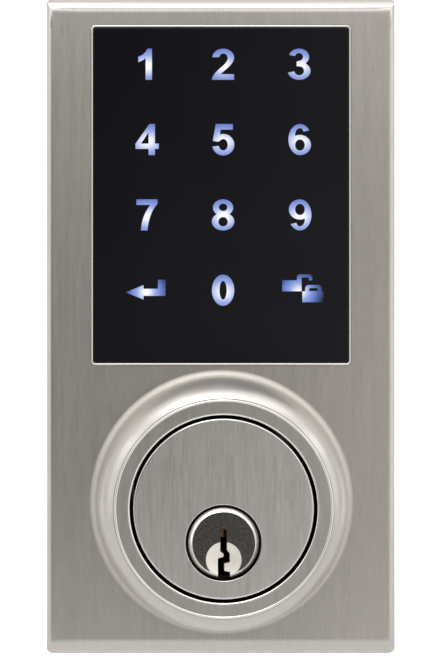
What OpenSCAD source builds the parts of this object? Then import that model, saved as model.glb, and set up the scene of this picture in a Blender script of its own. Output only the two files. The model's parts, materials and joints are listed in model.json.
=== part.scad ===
// Keypad smart lock: an outside escutcheon with a touch screen and a key cylinder, an inside unit with
// thumbturn, motor, gears and batteries, and what joins them through the door. Millimetres, +Z up.
// The outside faces -Y. The origin is the centre of the door's cross bore on its outside face.

/* [Door] */
// Thickness of the door that the lock clamps
door_t = 44.5; // [40:0.5:46]

/* [Outside escutcheon] */
// Width of the escutcheon
body_w = 67; // [66:1:72]
// Height of the escutcheon
body_h = 127; // [126:1:134]
// Depth from the door to the flat face
body_d = 20; // [20:1:24]
// Wall thickness of the casting
body_wall = 2.5; // [2.2:0.1:2.8]
// Distance from the middle of the escutcheon down to the cylinder guard
guard_drop = 33.5; // [33:0.5:34]
// Radius of the long top and bottom edges
edge_r_long = 3.7; // [3:0.1:4]
// Radius of the two side edges
edge_r_side = 1.5; // [1.2:0.1:2]

/* [Cylinder guard] */
// Radius of the raised guard where it meets the face
guard_r = 23.7; // [23.4:0.1:24.2]
// Radius of the guard's flat crest
crest_r = 20.1; // [19.5:0.1:20.5]
// Height of the crest above the flat face
guard_h = 10.3; // [9:0.1:11]

/* [Touch screen] */
// Width of the screen opening
screen_w = 49.8; // [49:0.1:50]
// Height of the screen opening
screen_h = 65.1; // [64:0.1:65.5]
// Height of the screen's lower edge above the cross bore's centre
screen_z = 25.9; // [25.8:0.1:26.2]
// Spacing of the touch keys across
key_dx = 14.6; // [14:0.1:15]
// Spacing of the touch keys down
key_dz = 14.4; // [14:0.1:15]

/* [Key cylinder] */
// Radius of the cylinder's round body
barrel_r = 16.45; // [16:0.05:16.5]
// Radius of the rotating plug
plug_r = 6.3; // [6.2:0.05:6.35]
// Distance of the plug's axis below the guard's centre
plug_drop = 6.2; // [6:0.1:6.4]
// Number of pin stacks
pin_count = 5; // [4:1:5]

/* [Inside unit] */
// Width of the inside unit
inside_w = 70; // [70:1:74]
// Height of the inside unit's lower end below the cross bore's centre
inside_low = 38; // [38:1:42]
// Height of the inside unit's upper end above the cross bore's centre
inside_high = 114; // [114:1:118]
// Depth of the inside unit from the door
inside_d = 34; // [34:1:38]
// Wall thickness of the inside covers
cover_wall = 2.2; // [2:0.1:2.2]
// Length of the thumbturn's paddle
paddle_l = 38; // [32:1:42]

/* [Gears] */
// Module of the slow gear pair, at the hub
module_a = 1; // [0.9:0.05:1]
// Module of the middle gear pair
module_b = 0.8; // [0.7:0.05:0.8]
// Module of the fast gear pair, at the motor
module_c = 0.6; // [0.55:0.05:0.6]

/* [Hidden] */
$fn = 96;
eps = 0.01;

nickel = "#a39d94";
black = "#1b1b1e";
steel = "#b8babd";
brass = "#b59a5a";
board_green = "#1f5a3a";
plastic = "#2b2c2f";

// Outside unit, front to back
face_y = -body_d;
gasket_t = 1.5;
plate_t = 1.2;
rim_y = -gasket_t;
plate_y = rim_y - plate_t;
crest_y = face_y - guard_h;
back_y = plate_y - 6.5;
body_mid = guard_drop;
corner_r = 2.3;
barrel_gap = 0.7;
housing_back = 2;
housing_face = crest_y + 0.2;
plug_face = crest_y - 0.1;
ear_t = 2.5;
post_x = 21;
post_r = 3.8;
post_end = 10;
bolt_r = 2.4;
screen_mid = screen_z + screen_h / 2;
rim_w = 0.45;
glass_front = face_y + 0.1;
glass_t = 1.8;
glass_back = glass_front + glass_t;
tape_t = 0.6;
board_front = -14.4;
board_t = 1.6;
board_boss_x = 28.8;
board_boss_dz = 28;
plate_boss = [[-27, 13], [27, 13], [-27, -22], [27, -22], [-27, 93.2], [27, 93.2]];

// Inside unit, back to front
in_y = door_t;
in_plate_t = 2;
chassis_y = in_y + in_plate_t;
chassis_t = 2.5;
inside_face = in_y + inside_d;
cover_back = in_y + 0.4;
split_z = 53.5;
hub_r = 6;
neck_r = 7.5;
hub_z = -plug_drop;
run_gap = 0.05;
wheel_low = chassis_y + chassis_t + 1;
layer_c = [wheel_low, wheel_low + 2.5];
layer_b = [wheel_low + 3, wheel_low + 6];
layer_a = [wheel_low + 6.5, wheel_low + 10.5];
gear_plate_y = wheel_low + 11.5;
gear_plate_t = 2;
main_y = gear_plate_y + 4.8;
main_top = main_y + board_t;
wheel_teeth = 36;
pinion_teeth = 12;
mesh_dir_a = 90;
mesh_dir_b = 35;
mesh_dir_c = 75;
hub_at = [0, hub_z];
low_at = hub_at + reach(module_a, mesh_dir_a);
high_at = low_at + reach(module_b, mesh_dir_b);
motor_at = high_at + reach(module_c, mesh_dir_c);
motor_r = 8;
motor_l = 18.5;
cradle_r = 9.6;
cell_r = 7.2;
cell_len = 48;
cell_nub = 1.2;
cell_pitch = 14.7;
cell_y = chassis_y + chassis_t + 2.4 + cell_r;
tray_w = 60.4;
tray_low = 55.2;
tray_len = 54;
tray_wall = 1.4;
tray_corner = 2.8;
tray_mid = tray_low + tray_len / 2;
contact_t = 0.35;
standoffs = [[-27, -22], [27, -22], [-27, 31], [28, 3]];
board_posts = [[-26, -12], [26, -12], [-27.5, 19.5], [22, 30.5]];
chassis_holes = [[-28, -30], [28, -30], [-28, 49], [28, 12]];
button_at = [19, 16];
lens_at = [-19, 16];

// Key cylinder: plug, pins and tailpiece
shear_z = -plug_drop + plug_r + run_gap / 2;
head_r = 6.45;
head_room = 6.93;
pin_r = 1.4;
pin_hole_r = 1.5;
pin_pitch = 4.4;
first_pin_y = housing_face + 7.4;
pin_row = pin_pitch * (pin_count - 1);
cap_z = 14.2;
tail_r = 4.9;
tail_y = housing_back + 2.4;
button_y = tail_y + 1.9;
blade_w = 7;
blade_t = 2.1;
key_pin_length = [6.9, 4.8, 6.2, 5.2, 5.7];
pin_tip = 0.9;
driver_length = 5;

// Cables: the signal cable from the touch board through the cross bore, and the leads inside
cable_route = [[-12, -10.45, 36], [-12, -7.6, 36], [-12, -6.2, 34], [-12, -5.6, 30], [-12, -5, 25],
               [-12, -3, 22], [-12, 0, 21.5], [-12, 6, 21], [-12, 14, 19.5], [-11.5, 24, 19],
               [-11.5, 34, 19.5], [-12, 42, 20.5], [-14, 47, 22], [-16.5, 50.3, 25.5], [-18, 52.5, 30],
               [-19, 55.5, 34.5], [-19.5, 59.5, 37], [-20, 64, 37.4], [-20.5, 68, 35.8], [-21, 70.8, 32],
               [-21, 70.8, 27.55]];
battery_route = [[6, 57, 55.1], [6, 57, 53], [5.2, 59.5, 49.5], [4, 65, 47], [2.4, 69.5, 43], [1.6, 71.4, 38],
                 [1.5, 71, 33], [1.5, 71, 28.1]];
cable_r = 1.3;
battery_lead_r = 0.9;
motor_lead_r = 0.6;
terminal_x = 4.5;
motor_lead_y = layer_b[0] + motor_l + 2.7;
motor_header_x = 10.5;
battery_header_x = 1.5;
header_z = 25.2;
header_w = 5.6;
header_y = main_top + 3;
cable_sides = 8;

// Height along the cylinder of pin stack i
function pin_y(i) = first_pin_y + i * pin_pitch;

// Centre distance of a pinion and a wheel of one module, as a step in the direction given
function reach(m, direction) =
    m * (wheel_teeth + pinion_teeth) / 2 * [cos(direction), sin(direction)];

// Points of an arc
function arc(cx, cy, r, a0, a1, n) =
    [for (i = [0:n]) let(a = a0 + (a1 - a0) * i / n) [cx + r * cos(a), cy + r * sin(a)]];

// Half the angle of an involute tooth at radius r
function involute_angle(rb, r) = let(a = acos(min(1, rb / r))) tan(a) * 180 / PI - a;
function half_tooth(teeth, rp, rb, r) =
    90 / teeth * 0.93 + involute_angle(rb, rp) - involute_angle(rb, r);
function polar(r, a) = [r * cos(a), r * sin(a)];

// Draws a flat shape in X and Z as a slab from y0 to y1
module slab(y0, y1) {
    translate([0, y1, 0]) rotate([90, 0, 0]) linear_extrude(y1 - y0) children();
}

// A round bar along Y
module rod(x, z, y0, y1, r) {
    translate([x, y1, z]) rotate([90, 0, 0]) cylinder(r = r, h = y1 - y0);
}

// Turns a profile of radius and forward distance about an axis along Y
module turned(x, z, y) {
    translate([x, y, z]) rotate([90, 0, 0]) rotate_extrude() children();
}

// Rectangle with round corners
module rounded(w, h, r) {
    square([w - 2 * r, h], center = true);
    square([w, h - 2 * r], center = true);
    for (x = [-1, 1], y = [-1, 1])
        translate([x * (w / 2 - r), y * (h / 2 - r)]) circle(r);
}

// Rectangle that starts at the origin, with its two corners on the left side round
module left_rounded(w, h, r) {
    translate([r, 0]) square([w - r, h]);
    translate([0, r]) square([w, h - 2 * r]);
    for (y = [r, h - r]) translate([r, y]) circle(r);
}

// Involute gear with a bore, between two planes
module gear(at, teeth, m, y0, y1, bore_r, turn) {
    rp = m * teeth / 2;
    rb = rp * cos(20);
    tip = rp + 0.72 * m;
    root = rp - m;
    foot = max(rb, root);
    steps = 4;
    flank = [for (i = [0:steps]) foot + (tip - foot) * i / steps];
    outline = [for (t = [0:teeth - 1]) let(c = 360 * t / teeth + turn) each concat(
        [polar(root, c - half_tooth(teeth, rp, rb, foot) - 0.4)],
        [for (r = flank) polar(r, c - half_tooth(teeth, rp, rb, r))],
        [for (i = [steps:-1:0]) polar(flank[i], c + half_tooth(teeth, rp, rb, flank[i]))],
        [polar(root, c + half_tooth(teeth, rp, rb, foot) + 0.4)])];
    difference() {
        translate([at.x, 0, at.y]) slab(y0, y1) polygon(outline);
        rod(at.x, at.y, y0 - 1, y1 + 1, bore_r);
    }
}

// Pan-head screw along Y, its head towards -Y when side is -1 and towards +Y when side is 1
module screw(x, z, seat, head_r, head_t, shank_r, shank_l, side) {
    head = side < 0 ? [seat - head_t, seat] : [seat, seat + head_t];
    shank = side < 0 ? [seat - eps, seat + shank_l] : [seat - shank_l, seat + eps];
    slot = side < 0 ? [head[0] - 1, head[0] + 0.5] : [head[1] - 0.5, head[1] + 1];
    difference() {
        union() {
            rod(x, z, head[0], head[1], head_r);
            rod(x, z, shank[0], shank[1], shank_r);
        }
        translate([x, 0, z]) slab(slot[0], slot[1]) {
            square([head_r * 1.3, 0.5], center = true);
            square([0.5, head_r * 1.3], center = true);
        }
    }
}

// Outer form of the escutcheon: flat face, large round edges at top and bottom, small ones at the sides
module body_block() {
    low = body_mid - body_h / 2;
    intersection() {
        slab(face_y, rim_y) translate([0, body_mid]) rounded(body_w, body_h, corner_r);
        translate([-body_w / 2, face_y, low])
            rotate([90, 0, 90]) linear_extrude(body_w) left_rounded(body_d + 5, body_h, edge_r_long);
        translate([body_w / 2, face_y, low - 1])
            rotate([0, 0, 90]) linear_extrude(body_h + 2) left_rounded(body_d + 5, body_w, edge_r_side);
    }
}

// Raised guard: a small hollow fillet at the face, a short wall, an elliptic shoulder that meets the flat
// crest at an edge
module guard_ring() {
    fillet = 0.9;
    shoulder = 5;
    turn = 65;
    sunk = 0.5;
    across = (guard_r - crest_r) / (1 - cos(turn));
    up = (guard_h - shoulder) / sin(turn);
    turned(0, 0, face_y)
        polygon(concat(
            [[0, -sunk], [guard_r + fillet, -sunk]],
            [for (i = [0:4]) let(a = 270 - 90 * i / 4)
                [guard_r + fillet + fillet * cos(a), fillet + fillet * sin(a)]],
            [for (i = [0:12]) let(a = turn * i / 12)
                [guard_r - across * (1 - cos(a)), shoulder + up * sin(a)]],
            [[0, guard_h]]));
}

module escutcheon() {
    inner_w = body_w - 2 * body_wall;
    inner_h = body_h - 6;
    tube_r = barrel_r + barrel_gap;
    color(nickel) difference() {
        union() {
            difference() {
                union() {
                    body_block();
                    guard_ring();
                }
                slab(face_y + body_wall, 1) translate([0, body_mid]) rounded(inner_w, inner_h, 1.5);
            }
            rod(0, 0, face_y, back_y, tube_r + 2);
            for (x = [-1, 1], z = [-1, 1])
                rod(x * board_boss_x, screen_mid + z * board_boss_dz, face_y + 1, board_front, 2.1);
            for (p = plate_boss) intersection() {
                rod(p.x, p.y, face_y + 1, plate_y, 3.2);
                slab(face_y + 1, plate_y) translate([0, body_mid]) rounded(inner_w + 1, inner_h + 1, 1.5);
            }
        }
        translate([0, 0, screen_mid]) slab(face_y - 1, face_y + body_wall + eps)
            rounded(screen_w + 0.1, screen_h + 0.1, 1);
        rod(0, 0, crest_y - 1, 0, tube_r);
        for (x = [-1, 1], z = [-1, 1])
            rod(x * board_boss_x, screen_mid + z * board_boss_dz, board_front - 3.5, board_front + 1, 0.85);
        for (p = plate_boss) rod(p.x, p.y, plate_y - 7, rim_y + 1, 1.25);
    }
}

// Bright frame that shows as a thin line, with a ledge for the glass and a flange behind the face
module screen_bezel() {
    ledge = glass_back + tape_t;
    lip = 1.2;
    flange_corner = 6;
    color("#d9d7d2") translate([0, 0, screen_mid]) difference() {
        union() {
            slab(face_y - 0.15, ledge + lip) rounded(screen_w, screen_h, 0.95);
            slab(face_y + body_wall + 0.05, ledge + lip)
                rounded(screen_w + 3.2, screen_h + 3.2, flange_corner);
        }
        slab(face_y - 1, ledge) rounded(screen_w - 2 * rim_w, screen_h - 2 * rim_w, 0.6);
        slab(face_y - 1, ledge + 5) rounded(45, 60.4, 1);
    }
}

module touch_glass() {
    color(black) translate([0, 0, screen_mid]) slab(glass_front, glass_back)
        rounded(screen_w - 2 * rim_w - 0.2, screen_h - 2 * rim_w - 0.2, 0.5);
}

module glass_adhesive() {
    color("#101010") translate([0, 0, screen_mid]) slab(glass_back, glass_back + tape_t) difference() {
        rounded(screen_w - 2 * rim_w - 0.6, screen_h - 2 * rim_w - 0.6, 0.5);
        rounded(45.4, 60.8, 1);
    }
}

// Thin film printed with the key legends, behind the glass
module legend_film() {
    color("#0c0c10") translate([0, 0, screen_mid]) slab(glass_back, glass_back + 0.2) rounded(44.8, 60.2, 1);
}

// Positions of the twelve keys, three across and four down
function key_at(column, row) = [(column - 1) * key_dx + 0.2, screen_z + 14.2 + (3 - row) * key_dz];

module light_guide() {
    front = glass_back + 0.25;
    color("#e8ecef") difference() {
        translate([0, 0, screen_mid]) slab(front, front + 2) rounded(44.6, 60, 1);
        for (c = [0:2], r = [0:3]) rod(key_at(c, r).x, key_at(c, r).y, front + 0.8, front + 3, 4.6);
    }
}

module touch_board() {
    color(board_green) difference() {
        translate([0, 0, screen_mid]) slab(board_front, board_front + board_t) rounded(61, 62, 1);
        for (x = [-1, 1], z = [-1, 1])
            rod(x * board_boss_x, screen_mid + z * board_boss_dz, board_front - 1, board_front + 3, 1.3);
    }
}

module key_leds() {
    color("#f4f2df") for (c = [0:2], r = [0:3])
        translate([key_at(c, r).x, 0, key_at(c, r).y])
            slab(board_front - 1, board_front) square([3.5, 2.8], center = true);
}

// Touch controller, driver, passives and the socket of the signal cable on the board's rear side
module touch_chips() {
    y = board_front + board_t;
    color("#222225") {
        translate([-6, 0, 62]) slab(y, y + 1.1) square([9, 9], center = true);
        translate([10, 0, 74]) slab(y, y + 1.4) square([5, 6.2], center = true);
        for (i = [0:5]) translate([-20 + i * 4, 0, 48]) slab(y, y + 0.7) square([1.6, 0.8], center = true);
        translate([-12, 0, 36]) slab(y, y + 4) difference() {
            square([12, 5], center = true);
            square([10.4, 3.4], center = true);
        }
    }
}

module buzzer() {
    y = board_front + board_t;
    color("#151515") difference() {
        rod(17, 52, y, y + 4.5, 6);
        rod(17, 52, y + 3.5, y + 5, 1);
    }
}

module touch_board_screws() {
    color(steel) for (x = [-1, 1], z = [-1, 1])
        screw(x * board_boss_x, screen_mid + z * board_boss_dz, board_front + board_t, 1.9, 1.3, 0.8, 4.6, 1);
}

// Shape of the back plate and of the gasket, with the holes that both need
module rear_outline(inset, barrel_hole, post_hole) {
    difference() {
        translate([0, body_mid]) rounded(body_w - 2 * inset, body_h - 2 * inset - 1, 1.5);
        circle(barrel_hole);
        for (x = [-1, 1]) translate([x * post_x, 0]) circle(post_hole);
        translate([-12, 21.5]) rounded(9, 4.6, 1);
    }
}

module back_plate() {
    color(steel) difference() {
        slab(plate_y, rim_y) rear_outline(body_wall + 0.2, barrel_r + 0.15, post_r + 0.05);
        for (p = plate_boss) rod(p.x, p.y, plate_y - 1, 0, 1.6);
    }
}

module back_plate_screws() {
    color(steel) for (p = plate_boss) screw(p.x, p.y, rim_y, 2.6, 1.3, 1.2, 6, 1);
}

// Rubber sheet between the outside unit and the door
module door_gasket() {
    color("#1a1a1a") difference() {
        slab(rim_y, 0) rear_outline(0.6, barrel_r + 1.2, post_r + 1);
        for (p = plate_boss) rod(p.x, p.y, rim_y - 1, 1, 3.2);
    }
}

// Round cylinder body with the plug's eccentric bore, the pin chambers above it and two fixing ears
module cylinder_housing() {
    color(nickel) difference() {
        union() {
            rod(0, 0, housing_face, housing_back, barrel_r);
            slab(plate_y - ear_t, plate_y) {
                square([2 * post_x, 13], center = true);
                for (x = [-1, 1]) translate([x * post_x, 0]) circle(6.5);
            }
        }
        rod(0, hub_z, housing_face - 1, housing_back + 1, plug_r + run_gap);
        rod(0, hub_z, housing_face - 1, housing_face + 2.2, head_room);
        for (i = [0:pin_count - 1]) translate([0, pin_y(i), shear_z - 1]) cylinder(r = pin_hole_r, h = 20);
        translate([-2.6, first_pin_y - 3, cap_z]) cube([5.2, pin_row + 6, 10]);
        for (x = [-1, 1]) rod(x * post_x, 0, plate_y - 10, 1, post_r + 0.05);
    }
}

// Profile of the keyway: a narrow upper slot, a step to each side and two wards, open at the bottom
module keyway() {
    polygon([[-0.62, 2.6], [0.62, 2.6], [0.62, -1.3], [1.15, -1.95], [1.15, -3.6], [0.15, -3.8], [0.15, -5.1],
             [1.2, -5.3], [1.2, -7], [-1.05, -7], [-1.05, -2.85], [-0.1, -2.6], [0.05, -2.1], [-0.62, -1.55]]);
}

// Sector of a ring round the plug's axis, for the dogs that carry the tailpiece round
module dog(y0, y1, middle, width) {
    slab(y0, y1) translate([0, hub_z]) difference() {
        intersection() {
            circle(tail_r);
            polygon([[0, 0], polar(2 * tail_r, middle - width / 2), polar(2 * tail_r, middle + width / 2)]);
        }
        circle(1.6);
    }
}

// Rotating plug: chamfered head, keyway, pin holes, a shallow round dish and a tail with a dog
module plug() {
    head_l = housing_face + 2 - plug_face;
    chamfer = 0.7;
    dish_r = 3.3;
    dish_depth = 0.7;
    color("#c9c5bb") difference() {
        union() {
            turned(0, hub_z, housing_face + 2)
                polygon([[0, 0], [head_r, 0], [head_r, head_l - chamfer], [head_r - chamfer, head_l],
                    [0, head_l]]);
            rod(0, hub_z, housing_face + 2 - eps, housing_back, plug_r);
            rod(0, hub_z, housing_back - eps, tail_y, tail_r);
            dog(tail_y - eps, button_y - 0.1, 225, 50);
        }
        translate([0, 0, hub_z]) slab(plug_face - 1, housing_back - 1) keyway();
        turned(0, hub_z - 3, plug_face)
            polygon([for (i = [0:8]) let(r = dish_r * i / 8) [r, dish_depth * ((r / dish_r) ^ 2 - 1)],
                [dish_r, 1], [0, 1]]);
        for (i = [0:pin_count - 1]) translate([0, pin_y(i), hub_z - 1.4]) cylinder(r = pin_hole_r, h = 11);
    }
}

// The pins stand at the shear line, as the right key would hold them
module key_pins() {
    color(brass) for (i = [0:pin_count - 1]) translate([0, pin_y(i), shear_z - 0.25]) mirror([0, 0, 1]) {
        cylinder(r = pin_r, h = key_pin_length[i] - pin_tip);
        translate([0, 0, key_pin_length[i] - pin_tip]) cylinder(r1 = pin_r, r2 = 0.5, h = pin_tip);
    }
}

module driver_pins() {
    color(brass) for (i = [0:pin_count - 1])
        translate([0, pin_y(i), shear_z + 0.1]) cylinder(r = pin_r, h = driver_length);
}

module pin_springs() {
    from = shear_z + 0.1 + driver_length;
    color(steel) for (i = [0:pin_count - 1]) translate([0, pin_y(i), from]) difference() {
        cylinder(r = 1.35, h = cap_z - from);
        translate([0, 0, -1]) cylinder(r = 0.95, h = 20);
    }
}

module chamber_cap() {
    color(brass) translate([-2.5, first_pin_y - 2.8, cap_z])
        cube([5, pin_row + 5.6, 1.2]);
}

// Cap on the plug's tail, which holds the plug in the housing and the tailpiece's button in the cap
module plug_cap() {
    color(brass) difference() {
        rod(0, hub_z, housing_back + 0.1, button_y + 1.9, 7.4);
        rod(0, hub_z, housing_back, button_y + 0.9, tail_r + run_gap);
        rod(0, hub_z, housing_back, button_y + 3, 4.05);
    }
}

// Flat blade from the plug's tail through the door to the hub, with a round button and a dog at its end
module tailpiece() {
    color(steel) {
        rod(0, hub_z, button_y, button_y + 0.8, tail_r - run_gap);
        dog(tail_y + 0.15, button_y + eps, 90, 36);
        slab(button_y + 0.8 - eps, chassis_y + 10) translate([0, hub_z])
            square([blade_w, blade_t], center = true);
    }
}

// Hex-headed threaded posts that clamp the cylinder's ears and the back plate together
module mounting_posts() {
    color(steel) for (x = [-1, 1]) difference() {
        union() {
            translate([x * post_x, 0, 0]) slab(plate_y - ear_t - 3.5, plate_y - ear_t)
                rotate(30) circle(r = 5, $fn = 6);
            rod(x * post_x, 0, plate_y - ear_t - eps, post_end, post_r);
        }
        rod(x * post_x, 0, plate_y - ear_t - 1, post_end + 1, bolt_r + 0.1);
    }
}

module through_bolts() {
    seat = chassis_y;
    color(steel) for (x = [-1, 1]) screw(x * post_x, 0, seat, 4.4, 2.2, bolt_r, seat - 1, 1);
}

// Tube of round section swept along a list of points
module swept_tube(route, r, sides) {
    last = len(route) - 1;
    points = [for (i = [0:last]) let(
            ahead = route[min(last, i + 1)] - route[max(0, i - 1)],
            t = ahead / norm(ahead),
            u = cross(t, [1, 0, 0.15]) / norm(cross(t, [1, 0, 0.15])),
            v = cross(t, u))
        for (k = [0:sides - 1]) let(a = 360 * k / sides) route[i] + r * (u * cos(a) + v * sin(a))];
    polyhedron(points = points, faces = concat(
        [[for (k = [0:sides - 1]) k]],
        [for (i = [0:last - 1], k = [0:sides - 1]) let(n = (k + 1) % sides)
            each [[i * sides + k, (i + 1) * sides + k, (i + 1) * sides + n],
                  [i * sides + k, (i + 1) * sides + n, i * sides + n]]],
        [[for (k = [sides - 1:-1:0]) last * sides + k]]));
}

module signal_cable() {
    color("#202022") swept_tube(cable_route, cable_r, cable_sides);
}

// Plug at each end of the signal cable
module cable_plugs() {
    y0 = board_front + board_t;
    y1 = main_top;
    color("#ece8dc") {
        translate([-12, 0, 36]) slab(y0 + 0.2, -10.5) square([10.2, 3.2], center = true);
        translate([-21, 0, 24.75]) slab(y1 + 1.25, y1 + 4.5) square([7, 5.5], center = true);
    }
}

module mounting_plate() {
    color(steel) difference() {
        slab(in_y, chassis_y) translate([0, 37]) rounded(60, 138, 5);
        rod(0, hub_z, in_y - 1, chassis_y + 1, 8);
        for (x = [-1, 1]) rod(x * post_x, 0, in_y - 1, chassis_y + 1, bolt_r + 0.25);
        slab(in_y - 1, chassis_y + 1) translate([-13, 21.5]) rounded(12, 7, 2);
        for (p = chassis_holes) rod(p.x, p.y, in_y - 1, chassis_y + 1, 1.45);
        for (z = [70, 86]) slab(in_y - 1, chassis_y + 1) translate([0, z]) rounded(30, 8, 3.9);
    }
}

// Ring that holds the motor, open towards the high idler
module motor_cradle() {
    difference() {
        rod(motor_at.x, motor_at.y, chassis_y + 1, gear_plate_y - 1.5, cradle_r);
        rod(motor_at.x, motor_at.y, layer_b[0] - 0.1, gear_plate_y, motor_r + 0.05);
        rod(motor_at.x, motor_at.y, chassis_y + chassis_t, layer_b[0], 5);
        rod(high_at.x, high_at.y, chassis_y + chassis_t, layer_b[0] - 0.1, 11.8);
        translate([motor_at.x - 12, chassis_y + chassis_t, motor_at.y - 15]) cube([24, 20, 11]);
    }
}

// Moulded base of the inside unit: back wall, side walls, gear plate standoffs and screw seats
module chassis() {
    w = inside_w - 2 * cover_wall - 0.7;
    low = -inside_low + cover_wall + 0.35;
    high = inside_high - cover_wall - 0.35;
    back = chassis_y + chassis_t;
    color("#3a3b3f") difference() {
        union() {
            difference() {
                slab(chassis_y, chassis_y + 15) translate([0, (low + high) / 2]) rounded(w, high - low, 4);
                slab(back, chassis_y + 20) translate([0, (low + high) / 2])
                    rounded(w - 4, high - low - 4, 2.5);
            }
            for (p = standoffs) rod(p.x, p.y, chassis_y + 1, gear_plate_y, 3);
            rod(low_at.x, low_at.y, chassis_y + 1, wheel_low + 2.6, 3);
            rod(high_at.x, high_at.y, chassis_y + 1, wheel_low - 0.3, 3);
            motor_cradle();
        }
        rod(0, hub_z, chassis_y - 1, back + 1, hub_r + run_gap);
        for (x = [-1, 1]) rod(x * post_x, 0, chassis_y - 1, back + 1, 5.2);
        slab(chassis_y - 1, back + 1) translate([-14.5, 22.5]) rounded(12, 8, 2);
        for (p = chassis_holes) rod(p.x, p.y, chassis_y - 1, back + 1, 1.7);
        for (p = standoffs) rod(p.x, p.y, gear_plate_y - 8, gear_plate_y + 1, 1.15);
        for (p = [low_at, high_at]) rod(p.x, p.y, chassis_y + 0.8, gear_plate_y, 1.5);
        for (x = [-20, 20]) translate([x, chassis_y + 9, low - 1]) cylinder(r = 1.15, h = 8);
    }
}

module chassis_screws() {
    back = chassis_y + chassis_t;
    color(steel) for (p = chassis_holes) screw(p.x, p.y, back, 2.4, 1.8, 1.4, 4.4, 1);
}

// Spindle that the tailpiece turns: a blade slot at the door side and a square socket at the room side
module drive_hub() {
    color("#8d8f93") difference() {
        rod(0, hub_z, chassis_y + 0.4, main_y + 5.5, hub_r);
        slab(chassis_y - 1, chassis_y + 11) translate([0, hub_z])
            square([blade_w + 0.2, blade_t + 0.2], center = true);
        slab(main_y - 4, main_y + 8) translate([0, hub_z]) square([6.1, 6.1], center = true);
    }
}

module hub_gear() {
    color("#d8d4c4") gear(hub_at, wheel_teeth, module_a, layer_a[0], layer_a[1], hub_r + 0.01, mesh_dir_a);
}

// Each idler is one moulding: a wheel and, beside it, a pinion that drives the next, slower wheel
module low_idler() {
    color("#e6e2d6") {
        gear(low_at, wheel_teeth, module_b, layer_b[0], layer_b[1], 1.55, mesh_dir_b);
        gear(low_at, pinion_teeth, module_a, layer_b[1] - eps, layer_a[1], 1.55,
             mesh_dir_a + 180 + 180 / pinion_teeth);
    }
}

module high_idler() {
    color("#e6e2d6") {
        gear(high_at, wheel_teeth, module_c, layer_c[0], layer_c[1], 1.55, mesh_dir_c);
        gear(high_at, pinion_teeth, module_b, layer_c[1] - eps, layer_b[1], 1.55,
             mesh_dir_b + 180 + 180 / pinion_teeth);
    }
}

module idler_pins() {
    color(steel) for (p = [low_at, high_at]) rod(p.x, p.y, chassis_y + 0.8, gear_plate_y + 1.5, 1.5);
}

module motor() {
    front = layer_b[0];
    color("#c4c6c9") difference() {
        union() {
            rod(motor_at.x, motor_at.y, front, front + motor_l, motor_r);
            rod(motor_at.x, motor_at.y, front + motor_l - eps, front + motor_l + 1, 3);
            for (x = [-1, 1]) translate([motor_at.x + terminal_x * x, 0, motor_at.y])
                slab(front + motor_l - eps, front + motor_l + 3) square([1.8, 0.4], center = true);
        }
        rod(motor_at.x, motor_at.y, front - 1, front + 6, 1.1);
    }
}

module motor_pinion() {
    color(brass) union() {
        gear(motor_at, pinion_teeth, module_c, layer_c[0], layer_c[1], 1,
             mesh_dir_c + 180 + 180 / pinion_teeth);
        rod(motor_at.x, motor_at.y, layer_c[0], layer_b[0] + 5, 1);
    }
}

module gear_plate() {
    color(steel) difference() {
        union() {
            slab(gear_plate_y, gear_plate_y + gear_plate_t) translate([0.3, 4.2]) rounded(61.4, 59, 3);
            for (p = board_posts) rod(p.x, p.y, gear_plate_y + 1, main_y, 2.2);
        }
        rod(0, hub_z, gear_plate_y - 1, gear_plate_y + 3, hub_r + run_gap);
        for (p = [low_at, high_at]) rod(p.x, p.y, gear_plate_y - 1, gear_plate_y + 3, 1.5);
        for (p = standoffs) rod(p.x, p.y, gear_plate_y - 1, gear_plate_y + 3, 1.4);
        for (p = board_posts) rod(p.x, p.y, gear_plate_y - 1, main_y + 1, 0.95);
    }
}

module gear_plate_screws() {
    color(steel) for (p = standoffs) screw(p.x, p.y, gear_plate_y + gear_plate_t, 2.4, 1.5, 1.1, 7, 1);
}

module main_board() {
    color(board_green) difference() {
        slab(main_y, main_top) translate([0, 2.6]) rounded(60.4, 62, 2);
        rod(0, hub_z, main_y - 1, main_y + 3, neck_r + 0.6);
        for (p = board_posts) rod(p.x, p.y, main_y - 1, main_y + 3, 1.2);
    }
}

// Radio module, processor, motor driver, capacitors, cable socket and the button's switch
module main_chips() {
    y = main_top;
    color("#2a2a2e") {
        translate([-17, 0, -21]) slab(y, y + 2.4) square([14, 12], center = true);
        translate([14, 0, -22]) slab(y, y + 1.2) square([10, 10], center = true);
        translate([25, 0, 4]) slab(y, y + 1.5) square([5, 6], center = true);
        for (z = [-2, 6]) rod(-26, z, y, y + 5, 2.4);
        translate([button_at.x, 0, button_at.y]) slab(y, y + 2.5) square([6, 6], center = true);
        translate([lens_at.x, 0, lens_at.y]) slab(y, y + 0.8) square([1.6, 1], center = true);
        translate([-21, 0, 24.75]) slab(y, y + 1.2) square([8, 6.5], center = true);
        translate([battery_header_x, 0, header_z]) slab(y, y + 4) square([6, header_w], center = true);
        translate([motor_header_x, 0, header_z]) slab(y, y + 4) square([5, header_w], center = true);
    }
}

module main_board_screws() {
    color(steel) for (p = board_posts) screw(p.x, p.y, main_top, 1.9, 1.2, 0.9, 4.6, 1);
}

// Cam on the hub's neck, and the two switches that it works at a quarter turn
module position_cam() {
    color("#d0402c") difference() {
        slab(main_y + 2.2, main_y + 4.6) translate([0, hub_z]) {
            circle(neck_r);
            translate([-1.5, 0]) square([3, 9.4]);
        }
        rod(0, hub_z, main_y, main_y + 6, hub_r + 0.01);
    }
}

module position_switches() {
    y = main_top;
    color("#17171a") {
        for (x = [-1, 1]) translate([x * 13.2, 0, hub_z]) slab(y, y + 3.6) square([5.4, 9], center = true);
        translate([0, 0, hub_z + 13]) slab(y, y + 3.6) square([9, 5.4], center = true);
    }
}

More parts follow.
